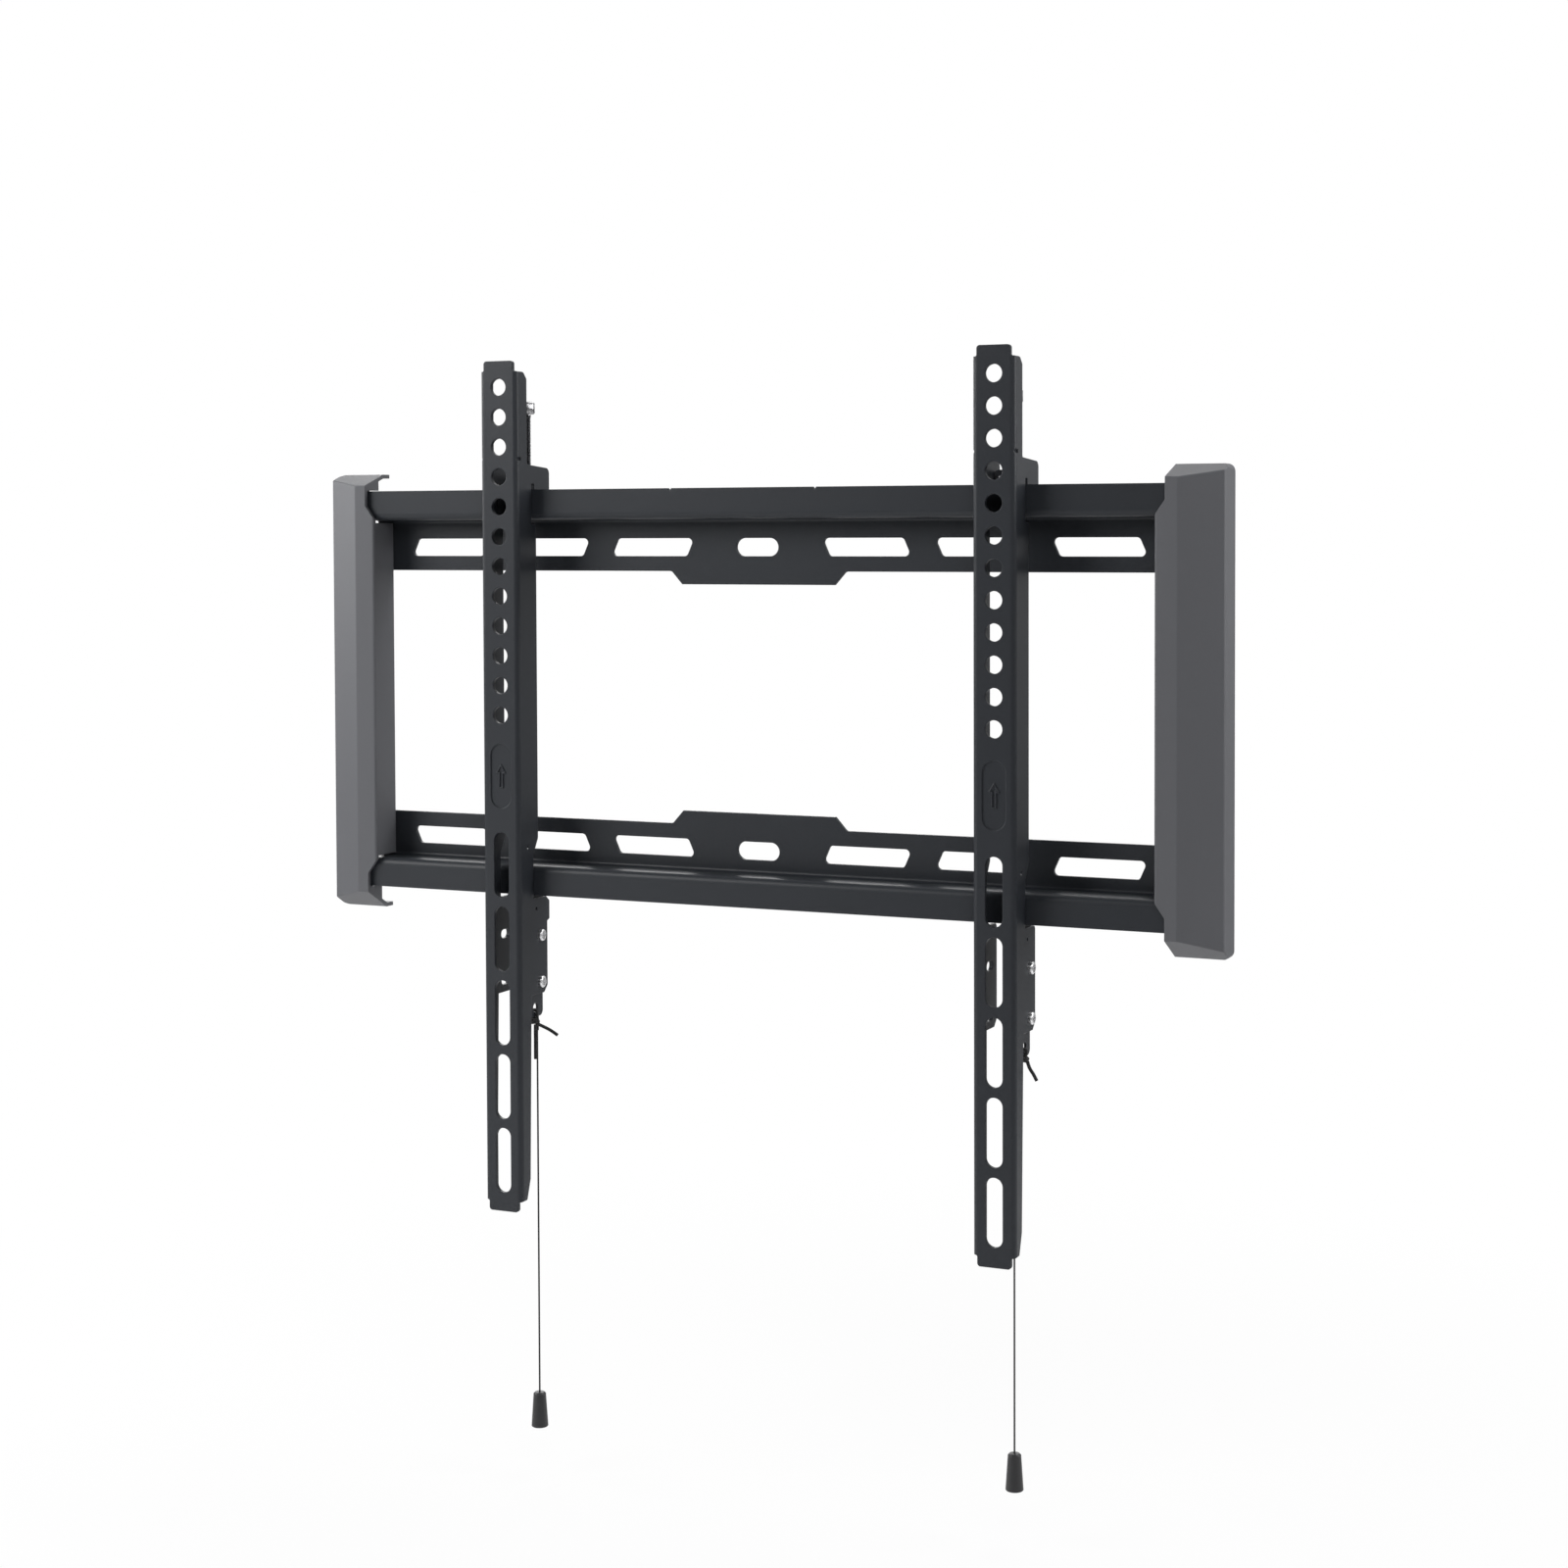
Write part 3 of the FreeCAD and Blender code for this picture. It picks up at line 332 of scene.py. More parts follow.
@dataclass(frozen=True)
class PowderCoat(Finish):
    """Baked powder coat on folded steel: a satin skin with a fine peel, with painted highlights on the edges.
    """

    colour: Colour = srgb(38, 41, 46)
    # Lighter colour for the grain's specks and for the painted highlights on the edges.
    speck_and_highlight_colour: Colour = srgb(58, 61, 67)
    roughness: float = 0.44
    gloss: float = 0.34
    cloud_scale: float = 22.0
    cloud_tint: float = 0.78
    cloud_share: float = 0.35
    cloud_dulling: float = 0.12
    peel_scale: float = 900.0
    peel_part: float = 0.6
    grain_scale: float = 3800.0
    grain_dulling: float = 0.1
    speck_band: Pair = (0.35, 0.75)
    speck_share: float = 0.22
    edge_radius: float = 0.0007
    edge_band: Pair = (0.02, 0.25)
    # Share of the lighter colour painted on the edges as a highlight.
    edge_highlight: float = 0.55
    relief: float = 0.00004
    relief_share: float = 0.55

    def build(self, tree: ShaderTree) -> dict[str, Any]:
        """Peel and grain as relief, a slight cloud in the colour, lighter specks, and painted highlights on
        the edges.

        Args:
            tree: Tree that takes the nodes.

        Returns:
            Values of the surface shader's sockets, by name.
        """
        place = tree.coordinates()
        cloud = tree.noise(place, self.cloud_scale, detail=3.0)
        peel = tree.noise(place, self.peel_scale, detail=1.0)
        grain = tree.noise(place, self.grain_scale, detail=1.0)
        rounded = tree.soft_edges(self.edge_radius)
        edge = tree.ramp(tree.edge_share(rounded), *self.edge_band)
        shade = tree.clouded(cloud, self.colour, self.cloud_tint, self.cloud_share)
        speck = tree.ramp(grain, *self.speck_band, 0.0, self.speck_share)
        shade = tree.mix(speck, shade, rgba(self.speck_and_highlight_colour))
        # Painted highlight: the edges turn towards the lighter colour.
        shade = tree.mix(edge * self.edge_highlight, shade, rgba(self.speck_and_highlight_colour))
        height = peel * self.peel_part + grain * (1 - self.peel_part)
        return {"Base Color": shade,
                "Roughness": (self.roughness + cloud.swing(self.cloud_dulling)
                              + grain.swing(self.grain_dulling)),
                "Normal": tree.bump(height, self.relief, self.relief_share, rounded),
                "Specular IOR Level": self.gloss}


@dataclass(frozen=True)
class MouldedPlastic(Finish):
    """Injection-moulded plastic with a spark-eroded grain, painted shade in its pits and painted highlights
    on its edges.
    """

    colour: Colour = srgb(90, 91, 95)
    roughness: float = 0.5
    refraction: float = 1.5
    flow_scale: float = 30.0
    flow_stretch: Point = (1.0, 1.0, 0.35)
    flow_tint: float = 0.86
    flow_share: float = 0.3
    pit_scale: float = 2600.0
    pit_band: Pair = (0.0, 0.45)
    # Pits darkened by this tint and share as painted shade.
    pit_shade_tint: float = 0.6
    pit_shade_share: float = 0.18
    pit_part: float = 0.7
    grain_scale: float = 1560.0
    grain_dulling: float = 0.14
    edge_radius: float = 0.0006
    edge_band: Pair = (0.02, 0.3)
    # Edges lightened by this tint and share as a painted highlight.
    edge_highlight_tint: float = 1.5
    edge_highlight: float = 0.25
    edge_polish: float = 0.08
    relief: float = 0.00005
    relief_share: float = 0.5

    def build(self, tree: ShaderTree) -> dict[str, Any]:
        """Pitted grain as relief with painted shade in the pits, faint flow clouds in the colour, and
        smoother edges with painted highlights.

        Args:
            tree: Tree that takes the nodes.

        Returns:
            Values of the surface shader's sockets, by name.
        """
        place = tree.coordinates()
        flow = tree.noise(tree.stretched(place, self.flow_stretch), self.flow_scale, detail=3.0)
        pits = tree.node("ShaderNodeTexVoronoi", {"feature": "SMOOTH_F1"},
                         {"Vector": place, "Scale": self.pit_scale})
        grain = tree.noise(place, self.grain_scale)
        rounded = tree.soft_edges(self.edge_radius)
        edge = tree.ramp(tree.edge_share(rounded), *self.edge_band)
        shade = tree.clouded(flow, self.colour, self.flow_tint, self.flow_share)
        # Painted shade: the colour darkens in the pits of the grain.
        pit_shade = tree.ramp(pits, *self.pit_band, self.pit_shade_share, 0.0)
        shade = tree.mix(pit_shade, shade, rgba(self.colour, self.pit_shade_tint))
        # Painted highlight: the edges turn lighter.
        shade = tree.mix(edge * self.edge_highlight, shade, rgba(self.colour, self.edge_highlight_tint))
        height = pits * self.pit_part + grain * (1 - self.pit_part)
        return {"Base Color": shade,
                "Roughness": self.roughness + grain.swing(self.grain_dulling) - edge * self.edge_polish,
                "Normal": tree.bump(height, self.relief, self.relief_share, rounded),
                "IOR": self.refraction}


@dataclass(frozen=True)
class ZincPlate(Finish):
    """Bright zinc on small turned and pressed steel."""

    colour: Colour = (0.86, 0.86, 0.87)
    stain: Colour = (0.66, 0.67, 0.69)
    roughness: float = 0.32
    cloud_scale: float = 420.0
    cloud_dulling: float = 0.2
    stain_band: Pair = (0.35, 0.75)
    stain_share: float = 0.55
    scratch_scale: float = 900.0
    scratch_stretch: Point = (1.0, 1.0, 9.0)
    scratch_dulling: float = 0.12
    edge_radius: float = 0.00025
    relief: float = 0.00002
    relief_share: float = 0.5

    def build(self, tree: ShaderTree) -> dict[str, Any]:
        """Metal with clouded plating and fine scratches.

        Args:
            tree: Tree that takes the nodes.

        Returns:
            Values of the surface shader's sockets, by name.
        """
        place = tree.coordinates()
        cloud = tree.noise(place, self.cloud_scale, detail=3.0)
        scratch = tree.noise(tree.stretched(place, self.scratch_stretch), self.scratch_scale, rough=0.7)
        rounded = tree.soft_edges(self.edge_radius)
        stained = tree.ramp(cloud, *self.stain_band, 0.0, self.stain_share)
        return {"Base Color": tree.mix(stained, rgba(self.colour), rgba(self.stain)),
                "Metallic": 1.0,
                "Roughness": (self.roughness + cloud.swing(self.cloud_dulling)
                              + scratch.swing(self.scratch_dulling)),
                "Normal": tree.bump(scratch, self.relief, self.relief_share, rounded)}


@dataclass(frozen=True)
class ScrewSteel(ZincPlate):
    """Steel of a level screw: near black on the thread, brighter on the head."""

    thread_colour: Colour = (0.045, 0.046, 0.05)
    head_level: float = 0.1433
    blend: float = 0.0004

    def build(self, tree: ShaderTree) -> dict[str, Any]:
        """The plating above the head's level, black under it.

        Args:
            tree: Tree that takes the nodes.

        Returns:
            Values of the surface shader's sockets, by name.
        """
        values = super().build(tree)
        height = tree.node("ShaderNodeSeparateXYZ", {}, {"Vector": tree.coordinates()}, "Z")
        head = tree.ramp(height, self.head_level - self.blend, self.head_level)
        values["Base Color"] = tree.mix(head, rgba(self.thread_colour), values["Base Color"])
        return values


@dataclass(frozen=True)
class BraidedCord(Finish):
    """Black braided cord: strands cross both ways round the tube, on its own UV map, with painted shade in
    the gaps.
    """

    colour: Colour = srgb(26, 26, 28)
    # Painted shade in the gaps between strands.
    gap_shade: Colour = srgb(9, 9, 10)
    roughness: float = 0.78
    strands: float = 4.0
    pitch: float = 420.0
    strand_band: Pair = (0.3, 0.95)
    strand_part: float = 0.8
    fuzz_scale: float = 6000.0
    fuzz_dulling: float = 0.2
    relief: float = 0.00012
    relief_share: float = 0.7
    sheen: float = 0.25
    sheen_roughness: float = 0.5

    def build(self, tree: ShaderTree) -> dict[str, Any]:
        """Two sets of slanted waves, the larger of sin^2(u + v) and sin^2(u - v), with a little fuzz and
        painted shade in the gaps.

        Args:
            tree: Tree that takes the nodes.

        Returns:
            Values of the surface shader's sockets, by name.
        """
        turn = tree.node("ShaderNodeSeparateXYZ", {}, {"Vector": tree.coordinates("UV")}, "X")
        around = turn * (self.strands * math.pi)
        run = turn.other("Y") * (self.pitch * math.pi)
        right = tree.node("ShaderNodeMath", {"operation": "SINE"}, {0: around + run})
        left = tree.node("ShaderNodeMath", {"operation": "SINE"}, {0: around - run})
        over = tree.node("ShaderNodeMath", {"operation": "MAXIMUM"}, {0: right * right, 1: left * left})
        fuzz = tree.noise(tree.coordinates(), self.fuzz_scale)
        height = over * self.strand_part + fuzz * (1 - self.strand_part)
        # Painted shade: the gaps between the strands take the darker colour.
        return {"Base Color": tree.mix(tree.ramp(over, *self.strand_band), rgba(self.gap_shade), rgba(self.colour)),
                "Roughness": self.roughness + fuzz.swing(self.fuzz_dulling),
                "Normal": tree.bump(height, self.relief, self.relief_share),
                "Sheen Weight": self.sheen, "Sheen Roughness": self.sheen_roughness}


@dataclass(frozen=True)
class SatinPlastic(Finish):
    """Black satin moulding of the pull bells."""

    colour: Colour = srgb(34, 34, 36)
    roughness: float = 0.42
    refraction: float = 1.5
    cloud_scale: float = 260.0
    cloud_tint: float = 1.35
    cloud_share: float = 0.4
    cloud_dulling: float = 0.16
    grain_scale: float = 5200.0
    grain_dulling: float = 0.1
    edge_radius: float = 0.0004
    relief: float = 0.00004
    relief_share: float = 0.45

    def build(self, tree: ShaderTree) -> dict[str, Any]:
        """Fine grain with a little dulling in clouds.

        Args:
            tree: Tree that takes the nodes.

        Returns:
            Values of the surface shader's sockets, by name.
        """
        place = tree.coordinates()
        cloud = tree.noise(place, self.cloud_scale)
        grain = tree.noise(place, self.grain_scale, detail=1.0)
        rounded = tree.soft_edges(self.edge_radius)
        return {"Base Color": tree.clouded(cloud, self.colour, self.cloud_tint, self.cloud_share),
                "Roughness": (self.roughness + cloud.swing(self.cloud_dulling)
                              + grain.swing(self.grain_dulling)),
                "Normal": tree.bump(grain, self.relief, self.relief_share, rounded),
                "IOR": self.refraction}


STEEL = PowderCoat("powder_coat_black")
COVER = MouldedPlastic("cover_plastic_grey")
ZINC = ZincPlate("zinc_plate")
SCREW_STEEL = ScrewSteel("level_screw_steel", colour=(0.50, 0.50, 0.51), stain=(0.34, 0.34, 0.36),
                         roughness=0.26)
SPRING_STEEL = ZincPlate("spring_steel", colour=(0.56, 0.57, 0.59), stain=(0.36, 0.37, 0.39),
                         roughness=0.33)
CORD = BraidedCord("braided_cord_black")
BELL = SatinPlastic("bell_plastic_black")


def grid_object(name: str, points: np.ndarray, uv: np.ndarray, round_rows: bool = True,
                caps: bool = True) -> bpy.types.Object:
    """Mesh object from a grid of points.

    Each cell of the grid is one face. A round grid's last column joins its first, and a cap is one face over
    the first or the last row.

    Args:
        name: Object's name.
        points: Rows by columns by 3, in metres.
        uv: Rows by columns plus one by 2.
        round_rows: True where each row is a closed ring.
        caps: True to close the first and the last ring.

    Returns:
        The linked object.
    """
    rows, columns = points.shape[:2]
    last = columns if round_rows else columns - 1
    row, column = np.meshgrid(np.arange(rows - 1), np.arange(last), indexing="ij")
    following = (column + 1) % columns
    faces = np.stack([row * columns + column, row * columns + following,
                      (row + 1) * columns + following, (row + 1) * columns + column], axis=-1).reshape(-1, 4)
    corner_rows = np.stack([row, row, row + 1, row + 1], axis=-1).reshape(-1)
    corner_columns = np.stack([column, column + 1, column + 1, column], axis=-1).reshape(-1)
    corner_uv = uv[corner_rows, corner_columns]
    polygons = faces.tolist()
    if caps:
        ring = np.arange(columns)
        polygons += [ring[::-1].tolist(), (ring + (rows - 1) * columns).tolist()]
        corner_uv = np.concatenate([corner_uv, uv[0, ring[::-1]], uv[rows - 1, ring]])
    mesh = bpy.data.meshes.new(name)
    mesh.from_pydata(points.reshape(-1, 3).tolist(), [], polygons)
    layer = mesh.uv_layers.new(name="UVMap")
    layer.data.foreach_set("uv", corner_uv.astype(np.float32).ravel())
    smooth = np.ones(len(polygons), dtype=bool)
    smooth[len(faces):] = False
    mesh.polygons.foreach_set("use_smooth", smooth)
    mesh.update()
    made = bpy.data.objects.new(name, mesh)
    bpy.context.scene.collection.objects.link(made)
    return made


def new_piece(name: str, grid: Grid, finish: Finish, caps: bool = True) -> bpy.types.Object:
    """Mesh piece with its finish.

    Args:
        name: Piece's name.
        grid: Points of closed rings, and their UV map.
        finish: Finish of the whole piece.
        caps: True to close the first and the last ring.

    Returns:
        The piece, which doesn't ride on a body yet.
    """
    piece = grid_object(name, *grid, caps=caps)
    finish.dress(piece)
    return piece


def ring_points(path: np.ndarray, radius: float, first: np.ndarray, second: np.ndarray,
                sides: int) -> np.ndarray:
    """Rings round a path: path + radius * (cos a * first + sin a * second).

    Args:
        path: Points, one row each.
        radius: Radius of every ring.
        first: Unit direction square to the path at each point.
        second: Unit direction square to both.
        sides: Points on a ring.

    Returns:
        Rows by sides by 3.
    """
    angle = np.arange(sides) * TURN / sides
    return path[:, None] + radius * (np.cos(angle)[None, :, None] * first[:, None]
                                     + np.sin(angle)[None, :, None] * second[:, None])


def ring_uv(along: np.ndarray, sides: int) -> np.ndarray:
    """UV map of rings: turns across, and a given measure along.

    Args:
        along: One measure for each ring.
        sides: Points on a ring.

    Returns:
        Rows by sides plus one by 2.
    """
    turns = np.arange(sides + 1) / sides
    return np.stack(np.broadcast_arrays(turns[None, :], along[:, None]), axis=-1)


def tube(path: np.ndarray, radius: float, sides: int, beside: Point) -> Grid:
    """Round profile carried along a path.

    A ring's first direction is the beside direction with its part along the path taken out, and its second is
    square to both.

    Args:
        path: Points in metres, one row each.
        radius: Radius in metres.
        sides: Points on a ring.
        beside: Direction that the path never follows.

    Returns:
        The grid of points, and its UV map with turns across and metres along.
    """
    along = np.gradient(path, axis=0)
    along /= np.linalg.norm(along, axis=1, keepdims=True)
    first = np.asarray(beside, float) - along * (along @ np.asarray(beside, float))[:, None]
    first /= np.linalg.norm(first, axis=1, keepdims=True)
    length = np.concatenate([[0.0], np.cumsum(np.linalg.norm(np.diff(path, axis=0), axis=1))])
    return ring_points(path, radius, first, np.cross(along, first), sides), ring_uv(length, sides)


def turned(radius: np.ndarray, height: np.ndarray, axis: Pair) -> Grid:
    """Surface turned about an upright axis: (x + r cos a, y + r sin a, z), with r for each row and angle.

    Args:
        radius: Rows by columns, in metres.
        height: One height for each row, in metres.
        axis: X and Y of the axis.

    Returns:
        The grid of points and its UV map.
    """
    columns = radius.shape[1]
    angle = np.arange(columns) * TURN / columns
    points = np.stack([axis[0] + radius * np.cos(angle), axis[1] + radius * np.sin(angle),
                       np.broadcast_to(height[:, None], radius.shape)], axis=-1)
    return points, ring_uv(height, columns)


def straight(start: Point, end: Point, steps: int) -> np.ndarray:
    """Points on a straight line: start * (1 - t) + end * t, with t from 0 to 1.

    Args:
        start: First point.
        end: Last point.
        steps: Number of points.

    Returns:
        The points, one row each.
    """
    share = np.linspace(0, 1, steps)[:, None]
    return np.array(start) * (1 - share) + np.array(end) * share


def spline_points(name: str, route: np.ndarray, steps: int) -> np.ndarray:
    """Points read from a smooth spline that has a route's points as its control points.

    Args:
        name: Name of the passing curve.
        route: Control points in metres.
        steps: Points for each control point.

    Returns:
        The points along the spline.
    """
    data = bpy.data.curves.new(name, "CURVE")
    data.dimensions = "3D"
    data.resolution_u = steps
    spline = data.splines.new("NURBS")
    spline.points.add(len(route) - 1)
    spline.points.foreach_set("co", np.column_stack([route, np.ones(len(route))]).ravel())
    spline.order_u = 3
    spline.use_endpoint_u = True
    curve = bpy.data.objects.new(name, data)
    bpy.context.scene.collection.objects.link(curve)
    bpy.context.view_layer.update()
    mesh = bpy.data.meshes.new_from_object(curve)
    points = np.empty(len(mesh.vertices) * 3)
    mesh.vertices.foreach_get("co", points)
    bpy.data.meshes.remove(mesh)
    bpy.data.objects.remove(curve)
    bpy.data.curves.remove(data)
    return points.reshape(-1, 3)


def packed(*names: str) -> list[bpy.types.Object]:
    """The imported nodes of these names."""
    return [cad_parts[name] for name in names]


@dataclass
class WallFrame:
    """Rails and end covers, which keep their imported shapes."""

    rails: tuple[str, ...] = ("upper_rail", "lower_rail")
    covers: tuple[str, ...] = ("left_cover", "right_cover")

    def build(self) -> list[bpy.types.Object]:
        """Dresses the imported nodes.

        Returns:
            The dressed pieces.
        """
        for node in packed(*self.rails):
            STEEL.dress(node)
        for node in packed(*self.covers):
            COVER.dress(node)
        return packed(*self.rails, *self.covers)


@dataclass
class LevelScrew:
    """Level screw with a rolled thread and a knurled, hollowed head. Lengths in millimetres."""

    side: str
    axis: Pair
    tip: float = 91.8
    head_low: float = 143.5
    head_high: float = 149.9
    radius: float = 2.0
    head_radius: float = 4.0
    chamfer: float = 0.67
    pitch: float = 0.7
    thread_depth: float = 0.38
    plain_neck: float = 1.2
    run_out: float = 0.8
    knurls: int = 28
    knurl_depth: float = 0.22
    hollow_shares: Pair = (0.72, 0.66)
    hollow_depth: float = 0.35
    pole_radius: float = 0.02
    neck_gap: float = 0.01
    pitch_steps: int = 8
    columns: int = 112
    same: ClassVar[float] = 1e-6

    def profile(self) -> tuple[np.ndarray, np.ndarray]:
        """Radius and height of the plain outline, from the tip to the head's top.

        Returns:
            Radii and heights, dense on the thread.
        """
        steps = int((self.head_low - self.tip) / self.pitch * self.pitch_steps)
        shank = np.linspace(self.tip + self.chamfer, self.head_low - self.neck_gap, steps)
        rim, floor = (share * self.head_radius for share in self.hollow_shares)
        edge, hollow = self.head_radius - self.chamfer, self.head_high - self.hollow_depth
        head = np.array([
            [edge, self.head_low], [self.head_radius, self.head_low + self.chamfer],
            [self.head_radius, self.head_high - self.chamfer], [edge, self.head_high],
            [rim, self.head_high], [floor, hollow], [self.pole_radius, hollow]])
        radius = np.concatenate([[self.pole_radius, self.radius - self.chamfer], np.full(steps, self.radius),
                                 head[:, 0]])
        height = np.concatenate([[self.tip, self.tip], shank, head[:, 1]])
        return radius, height

    def build(self) -> bpy.types.Object:
        """Turned outline, less the thread's groove and the knurl.

        The groove is depth * |2 * frac(z / pitch - a / turn) - 1|, and it fades out under the head. The
        knurl is depth * cos^4(a * count / 2).

        Returns:
            The screw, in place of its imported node.
        """
        radius, height = self.profile()
        angle = np.arange(self.columns) * TURN / self.columns
        grid = np.repeat(radius[:, None], self.columns, axis=1)
        phase = height[:, None] / self.pitch - angle[None, :] / TURN
        flank = np.abs(2 * (phase - np.floor(phase)) - 1)
        on_shank = (np.abs(radius - self.radius) < self.same) & (height < self.head_low)
        fade = np.clip((self.head_low - self.plain_neck - height) / self.run_out, 0, 1)
        grid -= (on_shank * fade)[:, None] * self.thread_depth * flank
        on_head = np.abs(radius - self.head_radius) < self.same
        grid -= on_head[:, None] * self.knurl_depth * np.cos(angle * self.knurls / 2)[None, :] ** 4
        surface = turned(grid * MM, height * MM, (self.axis[0] * MM, self.axis[1] * MM))
        piece = new_piece(f"{self.side}_level_screw_threaded", surface, SCREW_STEEL)
        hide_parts(f"{self.side}_level_screw")
        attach(piece, f"{self.side}_level_screw")
        return piece


@dataclass
class LatchSpring:
    """Wound tension spring with a hooked wire at each end. Lengths in millimetres."""

    side: str
    axis: Pair
    upper_reach: float
    lower_reach: float
    upper: float = -77.0
    lower: float = -112.4
    eye: float = 4.0
    radius: float = 2.0
    wire: float = 0.35
    coils: int = 26
    opening_coils: float = 0.5
    coil_steps: int = 20
    run_steps: int = 24
    sides: int = 8
    smoothing: tuple[int, ...] = (1, 2, 3, 2, 1)
    beside: ClassVar[Point] = (0.12, 0.35, 1.0)

    def path(self) -> np.ndarray:
        """Wire's line: hook across, eye down the axis, helix (R cos a, R sin a, falling), eye and hook.

        Returns:
            Points in millimetres, with the corners smoothed by a weighted mean of neighbours.
        """
        x, y = self.axis
        top, low = self.upper - self.eye, self.lower + self.eye
        share = np.linspace(0, 1, self.coils * self.coil_steps)
        angle = share * self.coils * TURN
        spread = self.radius * np.clip(np.minimum(share, 1 - share) * self.coils / self.opening_coils, 0, 1)
        helix = np.stack([x + spread * np.cos(angle), y + spread * np.sin(angle),
                          top + (low - top) * share], axis=1)
        hook = straight((self.upper_reach, y, self.upper), (x, y, self.upper), self.run_steps)
        eye = straight((x, y, self.upper), (x, y, top), self.run_steps)
        end_eye = straight((x, y, low), (x, y, self.lower), self.run_steps)
        end_hook = straight((x, y, self.lower), (self.lower_reach, y, self.lower), self.run_steps)
        line = np.concatenate([hook[:-1], eye[:-1], helix, end_eye[1:], end_hook[1:]])
        weights = np.array(self.smoothing) / sum(self.smoothing)
        smooth = np.stack([np.convolve(line[:, i], weights, mode="valid") for i in range(3)], axis=1)
        return np.concatenate([line[:1], smooth, line[-1:]])

    def build(self) -> bpy.types.Object:
        """Wire tube that stretches between the arm and the latch.

        Returns:
            The spring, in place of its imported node.
        """
        surface = tube(self.path() * MM, self.wire * MM, self.sides, self.beside)
        piece = new_piece(f"{self.side}_latch_spring_wound", surface, SPRING_STEEL)
        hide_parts(f"{self.side}_latch_spring")
        x, y = self.axis
        x * MM
        y * MM
        self.upper * MM
        x * MM
        y * MM
        self.lower * MM
        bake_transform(piece)
        return piece


@dataclass
class PullCord:
    """Cord loop, knot, hanging cord, stop knot and bell of one latch. Lengths in millimetres.

    The numbers in the routes are control points, given one by one.
    """

    side: str
    middle: float
    strand: Strand
    tail: Point
    length: float
    knot_rise: float
    shift: float = 0.0
    second_tail: float = 0.0
    depth: float = 16.5
    knot_level: float = -168.8
    loop_level: float = -162.45
    loop_half: float = 1.55
    loop_radius: float = 0.85
    cord_radius: float = 0.45
    bell_roof: float = 6.0
    first_run: float = 5.4
    bend_levels: Pair = (25.0, 55.0)
    last_run: float = 100.0
    wrap: Pair = (2.2, 1.6)
    wrap_rise: float = 1.2
    wrap_points: int = 9
    stop_size: Point = (1.2, 1.2, 1.5)
    stop_drop: float = 1.75
    stop_steps: int = 160
    stop_step_length: float = 0.08
    stop_sides: int = 10
    sides: int = 12
    knot_beside: ClassVar[Point] = (0.45, 0.55, 0.70)
    tail_beside: ClassVar[Point] = (0.8, 0.6, 0.1)
    cord_beside: ClassVar[Point] = (0.8, 0.6, 0.05)

    @property
    def cord_x(self) -> float:
        """X of the hanging cord under the knot."""
        return self.middle + self.loop_half * self.strand.value

    @property
    def cord_end(self) -> float:
        """Level of the cord's end, under the bell's roof."""
        return self.knot_level - self.length - self.bell_roof

    def world(self, local: np.ndarray) -> np.ndarray:
        """Points beside the knot's centre, moved to the frame, in metres."""
        return (local + np.array([self.middle, -self.depth, self.knot_level])) * MM

    def braided(self, name: str, grid: Grid, caps: bool = True) -> bpy.types.Object:
        """Piece of braided cord that moves with the latch.

        Args:
            name: Piece's name after its side.
            grid: Points and UV map.
            caps: True to close both ends.

        Returns:
            The piece.
        """
        piece = new_piece(f"{self.side}_{name}", grid, CORD, caps)
        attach(piece, f"{self.side}_latch")
        return piece

    def knot_route(self) -> np.ndarray:
        """Control points: tail, wraps on an ellipse (a cos t, b sin t, rising), then one leg, over and down.

        Returns:
            Points in metres.
        """
        sign, half, turns = self.strand.value, self.loop_half, self.strand.turns
        lead = np.asarray(self.tail) * np.array([[1.0], [0.72], [0.45]])
        lead = lead + np.array([[0.0, 0.0, 0.0], [0.35, 0.0, 0.25], [0.2, 0.0, 0.1]])
        start = np.array([[self.wrap[0], -0.3, -self.wrap_rise]])
        angle = np.linspace(0, turns * TURN, int(turns * self.wrap_points) + 1)
        coil = np.stack([self.wrap[0] * np.cos(angle), self.wrap[1] * np.sin(angle),
                         -self.wrap_rise + 2 * self.wrap_rise * angle / angle[-1]], axis=1)
        rise = self.loop_level - self.knot_level - self.knot_rise
        leg = np.array([
            [0.4 * sign, -0.8, 1.7], [-0.8 * half * sign, -0.3, 2.2], [-half * sign, 0, 2.9],
            [-half * sign, 0, rise], [-half * sign, 0, rise + half], [half * sign, 0, rise + half],
            [half * sign, 0, rise], [half * sign, 0, 2.6], [half * sign, 0, 0.5],
            [half * sign, 0, -2.4 - self.knot_rise]])
        return self.world(np.concatenate([lead, start, coil, leg]) + np.array([0, 0, self.knot_rise]))

    def build_knot(self) -> bpy.types.Object:
        """Tube along the knot's spline.

        Returns:
            The loop with its knot and tail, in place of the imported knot.
        """
        path = spline_points("knot_route", self.knot_route(), 6)
        grid = tube(path, self.loop_radius * MM, self.sides, self.knot_beside)
        piece = self.braided("cord_knot_tied", grid)
        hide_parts(f"{self.side}_cord_knot")
        return piece

    def build_second_tail(self) -> bpy.types.Object:
        """Loose end that hangs from the knot beside the cord.

        Returns:
            The tail, a piece of its own.
        """
        route = self.world(np.array([
            [0.3, 0.3, 0.2], [0.1, 0.5, -2.4], [0.1, 0.6, -7.0],
            [-0.1, 0.9, -0.8 * self.second_tail], [-0.15, 1.0, -self.second_tail]]))
        path = spline_points("tail_route", route, 8)
        return self.braided("cord_tail", tube(path, self.loop_radius * MM, self.sides, self.tail_beside))

